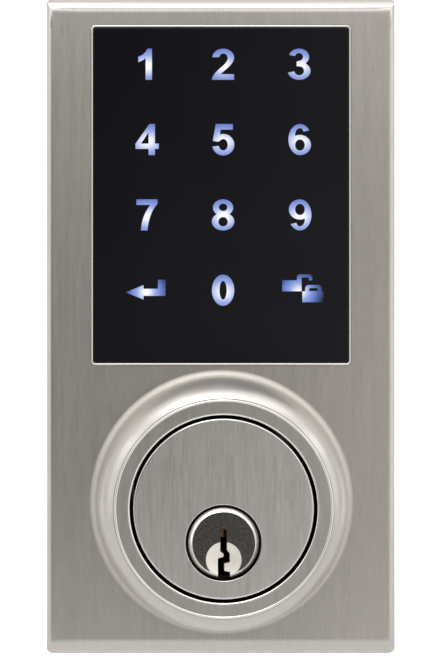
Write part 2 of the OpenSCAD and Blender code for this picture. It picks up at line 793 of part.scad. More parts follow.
module program_button() {
    color("#303236") {
        rod(button_at.x, button_at.y, main_y + 5.2, inside_face + 0.6, 3);
        rod(button_at.x, button_at.y, inside_face - cover_wall - 1.2, inside_face - cover_wall - 0.1, 4);
    }
}

module status_lens() {
    color("#dfe8ea") {
        rod(lens_at.x, lens_at.y, main_y + 3.2, inside_face + 0.1, 1.9);
        rod(lens_at.x, lens_at.y, inside_face - cover_wall - 1.2, inside_face - cover_wall - 0.05, 2.8);
    }
}

module battery_tray() {
    inner = tray_len - 2 * tray_wall;
    color("#26272a") difference() {
        slab(chassis_y + chassis_t + 0.1, cell_y + 3) translate([0, tray_mid])
            rounded(tray_w, tray_len, tray_corner);
        for (i = [0:3]) translate([(i - 1.5) * cell_pitch, cell_y, tray_low + tray_wall])
            cylinder(r = cell_r + 0.1, h = inner);
        translate([-tray_w / 2 + 1, cell_y, tray_low + tray_wall]) cube([tray_w - 2, 10, inner]);
    }
}

// Four cells side by side, alternate ones upside down
module batteries() {
    color("#3c6f8f") for (i = [0:3]) translate([(i - 1.5) * cell_pitch, cell_y, tray_mid])
        mirror([0, 0, i % 2]) translate([0, 0, -cell_len / 2]) {
            cylinder(r = cell_r, h = cell_len);
            translate([0, 0, cell_len - eps]) cylinder(r = 2.7, h = cell_nub);
        }
}

// A plate at each end of every cell, and a conical spring at its flat end
module battery_contacts() {
    reach_z = tray_len / 2 - tray_wall;
    color(steel) for (i = [0:3]) translate([(i - 1.5) * cell_pitch, cell_y, tray_mid]) mirror([0, 0, i % 2]) {
        translate([-4.5, -4.5, -reach_z]) cube([9, 9, contact_t]);
        translate([-4.5, -4.5, reach_z - contact_t]) cube([9, 9, contact_t]);
        translate([0, 0, -reach_z + contact_t - eps]) difference() {
            cylinder(r1 = 3.6, r2 = 2.6, h = 1.2);
            translate([0, 0, -1]) cylinder(r = 1.8, h = 4);
        }
    }
}

// Route of a motor lead from one terminal to the header, with the two leads closing in as they go
function motor_route(side) = let(
    from = [motor_at.x + side * terminal_x, motor_lead_y, motor_at.y - 0.4],
    to = [motor_header_x + side * 0.9, header_y, header_z + header_w / 2 + 0.1])
    [from, from - [0, 0, 2], [for (i = [0:2]) from[i] + (to[i] - from[i]) * 0.32] - [0, 0, 1.5],
     [for (i = [0:2]) from[i] + (to[i] - from[i]) * 0.7], to + [0, 0, 2.5], to];

// Leads from the battery tray and from the motor's two terminals down to the main board
module inner_leads() {
    color("#8c1f1f") swept_tube(battery_route, battery_lead_r, cable_sides);
    color("#202022") for (x = [-1, 1]) swept_tube(motor_route(x), motor_lead_r, cable_sides);
}

// Outer form of the inside unit between two heights, with round edges, made larger or smaller by grow
module inside_form(low, high, back, grow) {
    w = inside_w + 2 * grow;
    h = inside_low + inside_high + 2 * grow;
    face = inside_face + grow;
    edge = 4 + grow;
    intersection() {
        slab(back, face) translate([0, (inside_high - inside_low) / 2]) rounded(w, h, 6 + grow);
        translate([-w / 2, face, -inside_low - grow])
            mirror([0, 1, 0]) rotate([90, 0, 90]) linear_extrude(w) left_rounded(inside_d + 20, h, edge);
        translate([w / 2, face, low])
            mirror([0, 1, 0]) rotate([0, 0, 90]) linear_extrude(high - low)
                left_rounded(inside_d + 20, w, edge);
    }
}

module inside_cover() {
    color("#8f8a82") difference() {
        inside_form(-inside_low - 1, split_z, cover_back, 0);
        inside_form(-inside_low - 1, split_z + 1, cover_back - 1, -cover_wall);
        rod(0, hub_z, chassis_y, inside_face + 1, 9.6);
        rod(button_at.x, button_at.y, chassis_y, inside_face + 1, 3.08);
        rod(lens_at.x, lens_at.y, chassis_y, inside_face + 1, 2);
        for (x = [-20, 20]) translate([x, chassis_y + 9, -inside_low - 1]) cylinder(r = 1.5, h = 6);
    }
}

module cover_screws() {
    color(steel) for (x = [-20, 20]) translate([x, chassis_y + 9, -inside_low]) difference() {
        union() {
            translate([0, 0, -1.2]) cylinder(r = 2.5, h = 1.2);
            translate([0, 0, -eps]) cylinder(r = 1.1, h = 7);
        }
        translate([-1.6, -0.25, -2]) cube([3.2, 0.5, 1.3]);
    }
}

// Upper cover over the batteries, which slides up and off, with finger grooves at its lower edge
module battery_door() {
    color("#8f8a82") difference() {
        inside_form(split_z + 0.3, inside_high + 1, cover_back, 0);
        inside_form(split_z - 1, inside_high + 1, cover_back - 1, -cover_wall);
        for (i = [0:4]) translate([-9, inside_face - 0.6, split_z + 6 + i * 2.4]) cube([18, 2, 1.1]);
    }
}

// Thumbturn: round collar, tapering paddle and a square shank that drives the hub
module thumbturn() {
    collar = inside_face + 0.4;
    color(nickel) union() {
        rod(0, hub_z, collar, collar + 3.2, 15.5);
        rod(0, hub_z, inside_face - 3, collar + eps, 9);
        slab(main_y - 2, inside_face - 3 + eps) translate([0, hub_z]) square([6, 6], center = true);
        intersection() {
            slab(collar + 3, collar + 20) translate([0, hub_z]) {
                square([9, paddle_l - 9], center = true);
                for (z = [-1, 1]) translate([0, z * (paddle_l - 9) / 2]) circle(4.5);
            }
            translate([-10, collar, hub_z]) rotate([90, 0, 90]) linear_extrude(20)
                polygon(concat([[2, -14], [2, 14]], [for (i = [0:12]) let(a = 90 - 180 * i / 12)
                    [7 + 12.5 * cos(a), (paddle_l / 2 + 0.5) * sin(a)]]));
        }
    }
}

escutcheon();
screen_bezel();
touch_glass();
glass_adhesive();
legend_film();
light_guide();
touch_board();
key_leds();
touch_chips();
buzzer();
touch_board_screws();
back_plate();
back_plate_screws();
door_gasket();
cylinder_housing();
plug();
key_pins();
driver_pins();
pin_springs();
chamber_cap();
plug_cap();
tailpiece();
mounting_posts();
through_bolts();
signal_cable();
cable_plugs();
mounting_plate();
chassis();
chassis_screws();
drive_hub();
hub_gear();
low_idler();
high_idler();
idler_pins();
motor();
motor_pinion();
gear_plate();
gear_plate_screws();
main_board();
main_chips();
main_board_screws();
position_cam();
position_switches();
program_button();
status_lens();
battery_tray();
batteries();
battery_contacts();
inner_leads();
inside_cover();
cover_screws();
battery_door();
thumbturn();
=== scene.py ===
"""Looks of a keypad smart lock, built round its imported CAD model.

New surfaces are made for the cast escutcheon with its cylinder guard, the bright screen frame, the black glass
with its lit legends, the brushed cylinder and the thumbturn. Most other pieces that show are copies of CAD nodes
with their seams merged and their edges eased, and the rest keep their CAD shape. Lengths are in metres.
"""

import json
import logging
import math
from collections.abc import Iterator
from contextlib import contextmanager
from dataclasses import dataclass, field
from enum import Enum

import bmesh
import bpy
import numpy as np
from mathutils import Euler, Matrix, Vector


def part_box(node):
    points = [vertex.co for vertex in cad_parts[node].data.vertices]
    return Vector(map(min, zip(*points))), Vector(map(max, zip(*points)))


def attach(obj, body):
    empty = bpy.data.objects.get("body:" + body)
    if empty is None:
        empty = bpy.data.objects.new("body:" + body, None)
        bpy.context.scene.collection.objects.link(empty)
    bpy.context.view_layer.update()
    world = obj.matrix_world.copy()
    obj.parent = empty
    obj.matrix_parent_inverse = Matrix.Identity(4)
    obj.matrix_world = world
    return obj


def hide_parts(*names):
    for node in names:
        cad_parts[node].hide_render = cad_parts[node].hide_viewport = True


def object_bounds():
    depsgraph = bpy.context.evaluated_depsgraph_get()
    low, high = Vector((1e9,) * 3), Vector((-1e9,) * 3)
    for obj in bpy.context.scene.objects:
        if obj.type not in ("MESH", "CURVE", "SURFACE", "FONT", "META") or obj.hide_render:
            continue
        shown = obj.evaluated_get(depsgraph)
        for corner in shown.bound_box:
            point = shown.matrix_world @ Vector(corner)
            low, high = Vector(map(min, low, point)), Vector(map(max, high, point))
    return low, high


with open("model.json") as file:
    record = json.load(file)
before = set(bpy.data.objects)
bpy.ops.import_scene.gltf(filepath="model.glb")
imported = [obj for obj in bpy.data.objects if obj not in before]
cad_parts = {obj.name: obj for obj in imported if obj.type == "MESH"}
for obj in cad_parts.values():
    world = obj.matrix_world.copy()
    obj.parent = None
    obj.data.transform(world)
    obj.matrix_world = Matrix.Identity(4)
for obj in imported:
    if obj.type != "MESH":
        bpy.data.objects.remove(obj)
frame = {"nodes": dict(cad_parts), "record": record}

CAD_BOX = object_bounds()
MM = 0.001
SMOOTH = 30.0
FLAT_ANGLE = math.radians(0.6)
EASED_ANGLE = math.radians(35.0)
LOG = logging.getLogger("keypad_lock")

Colour = tuple[float, float, float]
Loop = np.ndarray
Range = tuple[float, float]


# ---------------------------------------------------------------- loops and skins


def quarter_arc(half_w: float, half_h: float, radius: float, steps: int) -> Loop:
    """Corner of a round-cornered rectangle, from its right side to its top side.

    The corner's centre lies one radius in from both sides, and the arc turns a quarter turn about it.

    Args:
        half_w: half the rectangle's width.
        half_h: half its height.
        radius: corner radius; with all three equal the loop is a circle.
        steps: number of steps along the arc.

    Returns:
        Points of the arc, one row each.
    """
    a = np.linspace(0.0, math.pi / 2, steps + 1)
    centre = np.array([half_w - radius, half_h - radius])
    return centre + radius * np.column_stack([np.cos(a), np.sin(a)])


def closed_loop(corner: Loop, up: np.ndarray, across: np.ndarray) -> Loop:
    """Closed outline that is symmetric about both axes, from the shape of one corner.

    The corner is mirrored into the other three quadrants, and the straight sides between them are filled at
    the fractions given, so that loops made with the same fractions match point for point.

    Args:
        corner: points from the right side to the top side.
        up: fractions along the right side, from below to above.
        across: fractions along the top side, from left to right.

    Returns:
        Points of the loop, counter-clockwise, without a repeated last point.
    """
    right_top = corner
    left_top = corner[::-1] * [-1, 1]
    left_low = corner * [-1, -1]
    right_low = corner[::-1] * [1, -1]
    top = right_top[-1] + (left_top[0] - right_top[-1]) * (1 - across[::-1, None])
    left = left_top[-1] + (left_low[0] - left_top[-1]) * (1 - up[::-1, None])
    low = left_low[-1] + (right_low[0] - left_low[-1]) * across[:, None]
    right = right_low[-1] + (right_top[0] - right_low[-1]) * up[:, None]
    return np.vstack([right_top, top, left_top, left, left_low, low, right_low, right])


def placed(loop: Loop, y: float | np.ndarray, centre: tuple[float, float] = (0.0, 0.0)) -> np.ndarray:
    """A flat loop in X and Z, set at depth y and moved to a centre, as points in space."""
    out = np.empty((len(loop), 3))
    out[:, 0] = loop[:, 0] + centre[0]
    out[:, 1] = y
    out[:, 2] = loop[:, 1] + centre[1]
    return out


def ring(radius: float, y: float, z: float = 0.0, steps: int = 24) -> np.ndarray:
    """Circle at depth y about an axis at height z, with a number of steps in each quarter."""
    none = np.zeros(0)
    return placed(closed_loop(quarter_arc(radius, radius, radius, steps), none, none), y, (0.0, z))


@contextmanager
def welded(data: bpy.types.Mesh, reach: float) -> Iterator[bmesh.types.BMesh]:
    """Opens a mesh for editing with the points within a reach merged, and writes it back afterwards."""
    work = bmesh.new()
    work.from_mesh(data)
    bmesh.ops.remove_doubles(work, verts=work.verts, dist=reach)
    yield work
    work.to_mesh(data)
    work.free()


class Skin:
    """Gathers patches of surface and makes them one closed mesh."""

    def __init__(self) -> None:
        """Starts with no points and no faces."""
        self.points: list[np.ndarray] = []
        self.faces: list[list[int]] = []
        self.count = 0

    def loft(self, loops: list[np.ndarray], closed: bool = True) -> "Skin":
        """Joins loops of equal length with four-sided faces, in the order given.

        Args:
            loops: rows of points; row i and row i + 1 are joined point for point.
            closed: whether each loop joins its own start.

        Returns:
            This skin.
        """
        rows = np.stack(loops)
        n, m = rows.shape[:2]
        index = np.arange(n * m).reshape(n, m) + self.count
        nxt = np.roll(index, -1, axis=1)
        last = m if closed else m - 1
        quads = np.stack([index[:-1], nxt[:-1], nxt[1:], index[1:]], axis=-1)[:, :last]
        self.points.append(rows.reshape(-1, 3))
        self.faces += quads.reshape(-1, 4).tolist()
        self.count += n * m
        return self

    def lid(self, loop: np.ndarray) -> "Skin":
        """Closes a convex loop with a fan about its middle."""
        middle = loop.mean(0)
        return self.loft([loop, np.repeat(middle[None], len(loop), 0)])

    def plate(self, outline: np.ndarray) -> "Skin":
        """Closes any flat outline with one many-sided face."""
        self.points.append(outline)
        self.faces.append(list(range(self.count, self.count + len(outline))))
        self.count += len(outline)
        return self

    def build(self, name: str, smooth: float = SMOOTH) -> bpy.types.Object:
        """Merges the seams, turns the faces outwards and makes the object.

        Args:
            name: the object's name.
            smooth: edges flatter than this many degrees are shaded smooth.

        Returns:
            The new object, at the origin.
        """
        data = bpy.data.meshes.new(name)
        data.from_pydata(np.vstack(self.points).tolist(), [], self.faces)
        with welded(data, 2e-6) as work:
            bmesh.ops.dissolve_degenerate(work, dist=1e-7, edges=work.edges)
            bmesh.ops.recalc_face_normals(work, faces=work.faces)
        return finish_mesh(name, data, smooth)


def finish_mesh(name: str, data: bpy.types.Mesh, smooth: float) -> bpy.types.Object:
    """Shades a mesh smooth below an angle in degrees and links an object that shows it."""
    data.polygons.foreach_set("use_smooth", np.ones(len(data.polygons), bool))
    data.set_sharp_from_angle(angle=math.radians(smooth))
    made = bpy.data.objects.new(name, data)
    bpy.context.scene.collection.objects.link(made)
    return made


def eased_copy(node: str, width: float) -> bpy.types.Object:
    """Copy of a CAD node with its seams merged, its flats joined and its edges eased.

    Weighted normals keep its flat faces flat in the shading.

    Args:
        node: the CAD node to copy.
        width: width of the eased edge.

    Returns:
        The copy, named after the node with _shell.
    """
    name = node + "_shell"
    data = frame["nodes"][node].data.copy()
    data.name = name
    data.materials.clear()
    with welded(data, 1e-6) as work:
        bmesh.ops.dissolve_limit(
            work, angle_limit=FLAT_ANGLE, verts=work.verts, edges=work.edges, delimit={"NORMAL"}
        )
    made = finish_mesh(name, data, SMOOTH)
    bevel = made.modifiers.new("eased_edges", "BEVEL")
    bevel.width = width
    bevel.segments = 2
    bevel.limit_method = "ANGLE"
    bevel.angle_limit = EASED_ANGLE
    made.modifiers.new("flat_faces", "WEIGHTED_NORMAL").keep_sharp = True
    return made


def settle(piece: bpy.types.Object, finish: "Finish", body: str, slot: str, *nodes: str) -> bpy.types.Object:
    """Dresses a piece, puts it on a body and hides the CAD nodes that it stands for.

    Args:
        piece: the object to settle.
        finish: what it is made of.
        body: the body that it moves with.
        slot: the record's material slot; not used.
        nodes: the CAD nodes that it replaces, if any.

    Returns:
        The piece.
    """
    piece.data.materials.clear()
    piece.data.materials.append(finish.material())
    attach(piece, body)
    if nodes:
        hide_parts(*nodes)
    LOG.info("%s rides on %s", piece.name, body)
    return piece


# ---------------------------------------------------------------- finishes


class Grain(Enum):
    """Direction that a surface was brushed in."""

    UP = (5600.0, 5600.0, 260.0)
    ACROSS = (260.0, 5600.0, 5600.0)
    NONE = (900.0, 900.0, 900.0)


class NodeTree:
    """A shader's node tree, with short calls for the nodes that it needs."""

    def __init__(self, tree: bpy.types.NodeTree) -> None:
        """Starts on a tree that holds its default nodes."""
        self.tree = tree

    def node(self, kind: str, **values: object) -> bpy.types.Node:
        """Adds a node; a value that names an input sets or links it, and any other sets a property."""
        made = self.tree.nodes.new("ShaderNode" + kind)
        for key, value in values.items():
            label = key.replace("_", " ")
            if label in made.inputs:
                self.feed(made.inputs[label], value)
            else:
                setattr(made, key, value)
        return made

    def feed(self, socket: bpy.types.NodeSocket, value: object) -> None:
        """Links a socket to another node's output, or sets its value."""
        if isinstance(value, bpy.types.NodeSocket):
            self.tree.links.new(value, socket)
        elif isinstance(value, tuple) and len(value) == 3 and socket.type == "RGBA":
            socket.default_value = (*value, 1.0)
        else:
            socket.default_value = value

    def wired(self, made: bpy.types.Node, parts: dict[int, object],
              out: int | str = 0) -> bpy.types.NodeSocket:
        """Feeds a node's numbered inputs and gives one of its outputs."""
        for index, part in parts.items():
            self.feed(made.inputs[index], part)
        return made.outputs[out]

    def math(self, operation: str, first: object, second: object = 0.0) -> bpy.types.NodeSocket:
        """One step of arithmetic on numbers."""
        return self.wired(self.node("Math", operation=operation), {0: first, 1: second})

    def mix(self, factor: object, first: object, second: object) -> bpy.types.NodeSocket:
        """Mixes two numbers."""
        return self.wired(self.node("Mix"), {0: factor, 2: first, 3: second})

    def blend(self, factor: object, first: object, second: object) -> bpy.types.NodeSocket:
        """Mixes two colours."""
        return self.wired(self.node("Mix", data_type="RGBA"), {0: factor, 6: first, 7: second}, 2)

    def dot(self, first: object, second: object) -> bpy.types.NodeSocket:
        """Cosine between two directions."""
        return self.wired(self.node("VectorMath", operation="DOT_PRODUCT"), {0: first, 1: second}, "Value")

    def hypot(self, first: object, second: object) -> bpy.types.NodeSocket:
        """Square root of the sum of two squares."""
        squares = [self.math("MULTIPLY", side, side) for side in (first, second)]
        return self.math("SQRT", self.math("ADD", *squares))

    def spread(self, value: object, low: float, high: float, to: Range = (0.0, 1.0),
               curve: str = "LINEAR") -> bpy.types.NodeSocket:
        """Maps a value from the range low to high onto the range to."""
        made = self.node("MapRange", Value=value, From_Min=low, From_Max=high, To_Min=to[0], To_Max=to[1],
                         interpolation_type=curve)
        return made.outputs["Result"]

    def ramp(self, value: object, *stops: tuple[float, Colour]) -> bpy.types.NodeSocket:
        """Colours a value by its place between stops, from the lowest to the highest."""
        made = self.node("ValToRGB", Fac=value)
        marks = made.color_ramp.elements
        for mark, (position, colour) in zip((marks[0], marks[1]), (stops[0], stops[-1])):
            mark.position, mark.color = position, (*colour, 1.0)
        for position, colour in stops[1:-1]:
            marks.new(position).color = (*colour, 1.0)
        return made.outputs["Color"]


class Recipe(NodeTree):
    """The node tree of one material."""

    def __init__(self, name: str, roughness: float, metallic: float = 0.0) -> None:
        """Starts a material with its shader's constant values set."""
        self.material = bpy.data.materials.new(name)
        self.material.use_nodes = True
        super().__init__(self.material.node_tree)
        self.shader = self.tree.nodes["Principled BSDF"]
        self.shader.inputs["Roughness"].default_value = roughness
        self.shader.inputs["Metallic"].default_value = metallic

    def give(self, label: str, value: object) -> None:
        """Sets or links one of the shader's inputs."""
        self.feed(self.shader.inputs[label], value)

    def place(self, scale: float | tuple[float, float, float]) -> bpy.types.NodeSocket:
        """Object coordinates, scaled evenly or along each axis."""
        scale = scale if isinstance(scale, tuple) else (scale,) * 3
        where = self.node("TexCoord").outputs["Object"]
        return self.node("Mapping", Vector=where, Scale=scale).outputs["Vector"]

    def axis(self, letter: str) -> bpy.types.NodeSocket:
        """One of the object's coordinates."""
        return self.node("SeparateXYZ", Vector=self.node("TexCoord").outputs["Object"]).outputs[letter]

    def normal(self, letter: str) -> bpy.types.NodeSocket:
        """One part of the surface's direction."""
        return self.node("SeparateXYZ", Vector=self.node("NewGeometry").outputs["Normal"]).outputs[letter]

    def noise(self, scale: float | tuple[float, float, float], detail: float = 3.0,
              rough: float = 0.6) -> bpy.types.NodeSocket:
        """Soft noise from 0 to 1, scaled evenly or along each axis."""
        made = self.node("TexNoise", Vector=self.place(scale), Scale=1.0, Detail=detail, Roughness=rough)
        return made.outputs["Fac"]

    def bump(self, height: bpy.types.NodeSocket, strength: object, depth: float) -> None:
        """Raises the surface's shading by a height, depth metres high."""
        made = self.node("Bump", Height=height, Strength=strength, Distance=depth)
        self.give("Normal", made.outputs["Normal"])

    def edges(self, reach: float) -> bpy.types.NodeSocket:
        """From 0 on flat ground to 1 on edges, where a rounded normal leans away from the true one."""
        rounded = self.node("Bevel", samples=4, Radius=reach).outputs["Normal"]
        return self.spread(self.dot(rounded, self.node("NewGeometry").outputs["Normal"]), 0.995, 0.9)


@dataclass(frozen=True)
class Finish:
    """What a surface is made of; every kind of finish makes its own material."""

    name: str

    def recipe(self) -> Recipe:
        """The node tree for this finish."""
        raise NotImplementedError

    def material(self) -> bpy.types.Material:
        """The finish's material, made once."""
        found = bpy.data.materials.get(self.name)
        return found or self.recipe().material


@dataclass(frozen=True)
class BrushedMetal(Finish):
    """Metal with long fine scratches along one direction and a faint cloudiness.

    Only surfaces that face straight forwards or back are brushed; the edges between them are smoother.
    Surfaces further back than gap_from are painted dark: painted shade, as inside a narrow gap.
    """

    colour: Colour = (0.60, 0.568, 0.53)
    roughness: float = 0.34
    grain: Grain = Grain.UP
    streaks: float = 0.12
    depth: float = 4e-6
    edge_roughness: float = 0.22
    gap_from: float = 1.0

    def eased(self, r: Recipe) -> object:
        """Roughness of the edges."""
        return self.edge_roughness

    def tinted(self, r: Recipe, base: bpy.types.NodeSocket) -> bpy.types.NodeSocket:
        """The brushed colour, changed where the surface differs."""
        return base

    def recipe(self) -> Recipe:
        """Two layers of stretched noise vary the colour and the roughness and raise the scratches."""
        r = Recipe(self.name, self.roughness, 1.0)
        fine = r.noise(self.grain.value, 4.0, 0.7)
        broad = r.noise(tuple(s * 0.22 for s in self.grain.value), 2.0, 0.5)
        cloud = r.noise(28.0, 3.0, 0.5)
        streak = r.math("ADD", r.math("MULTIPLY", fine, 0.78), r.math("MULTIPLY", broad, 0.22))
        tone = r.math("ADD", streak, r.math("MULTIPLY", cloud, 0.3))
        dark = tuple(c * (1 - self.streaks) for c in self.colour)
        light = tuple(min(1.0, c * (1 + self.streaks)) for c in self.colour)
        base = r.blend(r.spread(tone, 0.42, 0.88), dark, light)
        base = self.tinted(r, base)
        if self.gap_from < 1.0:
            # Painted shade: behind gap_from the colour is painted near black, standing in for the shade inside a
            # narrow gap.
            painted_gap_shade = r.spread(r.axis("Y"), self.gap_from, self.gap_from + 0.0004)
            base = r.blend(painted_gap_shade, base, (0.035, 0.032, 0.03))
        r.give("Base Color", base)
        facing = r.spread(r.math("ABSOLUTE", r.normal("Y")), 0.984, 0.997)
        low, high = self.roughness * 0.86, self.roughness * 1.14
        brushed = r.math("MULTIPLY", r.spread(streak, 0.3, 0.7, (low, high)), facing)
        smooth = r.math("MULTIPLY", r.math("SUBTRACT", 1.0, facing), self.eased(r))
        r.give("Roughness", r.math("ADD", brushed, smooth))
        r.bump(streak, r.spread(facing, 0.0, 1.0, (0.1, 0.35)), self.depth)
        return r


@dataclass(frozen=True)
class CastMetal(BrushedMetal):
    """Brushed metal, polished along its top edge and two fine rings, with a painted highlight on the rings, and
    matt on the guard's steep side.
    """

    top_edge: float = 0.0905
    crest: float = 19.88 * MM
    bore: float = 17.34 * MM
    half: float = 0.23 * MM
    polish: float = 0.12
    matt: float = 0.56
    steep: tuple[float, float, float] = (22.0 * MM, 23.3 * MM, 26.5 * MM)

    def rings(self, r: Recipe) -> tuple[bpy.types.NodeSocket, bpy.types.NodeSocket]:
        """Distance from the guard's axis, and 1 within half of each ring's radius."""
        radius = r.hypot(r.axis("X"), r.axis("Z"))
        near = [r.math("LESS_THAN", r.math("ABSOLUTE", r.math("SUBTRACT", radius, at)), self.half)
                for at in (self.crest, self.bore)]
        return radius, r.math("MAXIMUM", *near)

    def tinted(self, r: Recipe, base: bpy.types.NodeSocket) -> bpy.types.NodeSocket:
        """Painted highlight: the rings' colour is painted brighter than the brushed metal."""
        return r.blend(self.rings(r)[1], base, (0.90, 0.88, 0.85))

    def eased(self, r: Recipe) -> object:
        """Roughness of the edges: low above top_edge and near each ring's radius, high on the steep side."""
        radius, rings = self.rings(r)
        high = r.math("GREATER_THAN", r.axis("Z"), self.top_edge)
        edge = r.math("MULTIPLY", high, r.math("LESS_THAN", r.normal("Z"), 0.85))
        fine = r.math("MAXIMUM", rings, edge)
        start, full, end = self.steep
        side = r.math("MULTIPLY", r.spread(radius, start, full), r.math("LESS_THAN", radius, end))
        plain = r.spread(side, 0.0, 1.0, (self.edge_roughness, self.matt))
        kept = r.math("MULTIPLY", plain, r.math("SUBTRACT", 1.0, fine))
        return r.math("ADD", kept, r.math("MULTIPLY", fine, self.polish))


@dataclass(frozen=True)
class PolishedMetal(Finish):
    """Smooth bright metal with faint marks of handling."""

    colour: Colour = (0.80, 0.78, 0.74)
    roughness: float = 0.14
    marks: float = 0.10

    def recipe(self) -> Recipe:
        """Soft noise varies the roughness, and fine noise leaves small marks in the colour."""
        r = Recipe(self.name, self.roughness, 1.0)
        cloud = r.noise(160.0, 3.0)
        fine = r.noise(2600.0, 4.0, 0.7)
        worn = tuple(c * (1 - self.marks) for c in self.colour)
        r.give("Base Color", r.blend(r.spread(fine, 0.35, 0.7), self.colour, worn))
        r.give("Roughness", r.spread(cloud, 0.3, 0.7, (self.roughness * 0.75, self.roughness * 1.35)))
        r.bump(fine, 0.2, 2e-6)
        return r


@dataclass(frozen=True)
class PlugMetal(Finish):
    """Polished plating over a brass plug, with a milled dish below its axis.

    The dish is matt and painted pale, a painted highlight; the chamfer ring round the head is painted bright, a
    painted highlight; the inside of the keyway is bare brass; and the gap round the head is painted dark, a
    painted shade.
    """

    face: float = -30.4 * MM
    axis_z: float = -6.2 * MM
    dish_drop: float = 3.0 * MM
    dish: float = 3.26 * MM
    head: float = 6.3 * MM

    def recipe(self) -> Recipe:
        """Depth behind the face and distance from two axes tell the four surfaces apart."""
        r = Recipe(self.name, 0.12, 1.0)
        x, y, z = (r.axis(letter) for letter in "XYZ")
        depth = r.math("SUBTRACT", y, self.face)

        def away(height: float) -> bpy.types.NodeSocket:
            return r.hypot(x, r.math("SUBTRACT", z, height))

        shallow = r.spread(depth, 0.75 * MM, 0.9 * MM, (1.0, 0.0))
        sunk = r.spread(depth, 0.002 * MM, 0.02 * MM)
        near = r.spread(away(self.axis_z - self.dish_drop), self.dish, self.dish + 0.03 * MM, (1.0, 0.0))
        milled = r.math("MULTIPLY", r.math("MULTIPLY", near, shallow), sunk)
        # Painted shade: deep down beyond the head's radius the colour is painted near black for the gap round the
        # head.
        outer = r.spread(away(self.axis_z), self.head - 0.1 * MM, self.head)
        deep = r.spread(depth, 0.8 * MM, 1.1 * MM)
        fine = r.noise(2400.0, 4.0, 0.7)
        plated = r.blend(r.spread(fine, 0.3, 0.7), (0.66, 0.64, 0.60), (0.76, 0.73, 0.68))
        # Painted highlight: the chamfer ring round the head is painted near white.
        rim = r.spread(away(self.axis_z), self.head - 0.72 * MM, self.head - 0.66 * MM)
        plated = r.blend(rim, plated, (0.93, 0.91, 0.88))
        # Painted highlight: the milled dish is painted pale; its matt roughness is real.
        pale = r.blend(fine, (0.95, 0.92, 0.86), (0.84, 0.80, 0.72))
        brass = r.blend(fine, (0.50, 0.35, 0.13), (0.34, 0.23, 0.08))
        colour = r.blend(deep, r.blend(milled, plated, pale), r.blend(outer, brass, (0.03, 0.027, 0.025)))
        r.give("Base Color", colour)
        matt = r.math("MAXIMUM", r.math("MULTIPLY", milled, 0.55), r.math("MULTIPLY", deep, 0.4))
        r.give("Roughness", r.math("MAXIMUM", matt, r.spread(fine, 0.3, 0.7, (0.09, 0.17))))
        r.bump(fine, 0.25, 3e-6)
        return r


@dataclass(frozen=True)
class SatinPaint(Finish):
    """Metallic paint on a moulding, with fine flakes."""

    colour: Colour = (0.29, 0.275, 0.255)
    roughness: float = 0.36

    def recipe(self) -> Recipe:
        """Flake noise varies the colour, and a slow noise gives a trace of orange peel."""
        r = Recipe(self.name, self.roughness, 0.75)
        flake = r.noise(7000.0, 2.0, 0.6)
        peel = r.noise(1100.0, 2.0, 0.5)
        light = tuple(min(1.0, c * 1.35) for c in self.colour)
        dark = tuple(c * 0.8 for c in self.colour)
        r.give("Base Color", r.blend(r.spread(flake, 0.35, 0.65), dark, light))
        r.give("Roughness", r.spread(flake, 0.3, 0.7, (self.roughness * 0.85, self.roughness * 1.2)))
        r.bump(peel, 0.18, 1.2e-5)
        r.give("Coat Weight", 0.25)
        r.give("Coat Roughness", 0.2)
        return r


@dataclass(frozen=True)
class Moulded(Finish):
    """Plastic or rubber with a fine moulded texture, rubbed along its edges."""

    colour: Colour = (0.03, 0.03, 0.033)
    roughness: float = 0.5
    texture: float = 2200.0
    relief: float = 1.5e-5
    rubbed: float = 0.25

    def recipe(self) -> Recipe:
        """Fine noise raises the texture; the colour pales a little where edges are rubbed."""
        r = Recipe(self.name, self.roughness)
        fine = r.noise(self.texture, 3.0, 0.65)
        slow = r.noise(90.0, 3.0)
        dark = tuple(c * 0.85 for c in self.colour)
        light = tuple(min(1.0, c * 1.18 + 0.004) for c in self.colour)
        pale = tuple(min(1.0, c * 1.5 + 0.02) for c in self.colour)
        base = r.blend(r.spread(slow, 0.3, 0.7), dark, light)
        rub = r.math("MULTIPLY", r.edges(0.0004), self.rubbed)
        r.give("Base Color", r.blend(rub, base, pale))
        matt = (self.roughness * 0.85, min(1.0, self.roughness * 1.15))
        r.give("Roughness", r.spread(fine, 0.25, 0.75, matt))
        r.bump(fine, 0.3, self.relief)
        return r


@dataclass(frozen=True)
class CoverGlass(Finish):
    """Black printed glass, glossy, with a trace of finger haze."""

    colour: Colour = (0.0030, 0.0030, 0.0056)
    roughness: float = 0.07

    def recipe(self) -> Recipe:
        """Slow noise varies the gloss where fingers have touched."""
        r = Recipe(self.name, self.roughness)
        haze = r.noise((55.0, 55.0, 40.0), 4.0, 0.6)
        touched = r.spread(haze, 0.4, 0.8, (0.0, 0.5))
        r.give("Base Color", r.blend(touched, self.colour, (0.0052, 0.0052, 0.0088)))
        r.give("Roughness", r.spread(haze, 0.35, 0.75, (self.roughness, self.roughness * 2.0)))
        r.give("Specular IOR Level", 0.34)
        return r


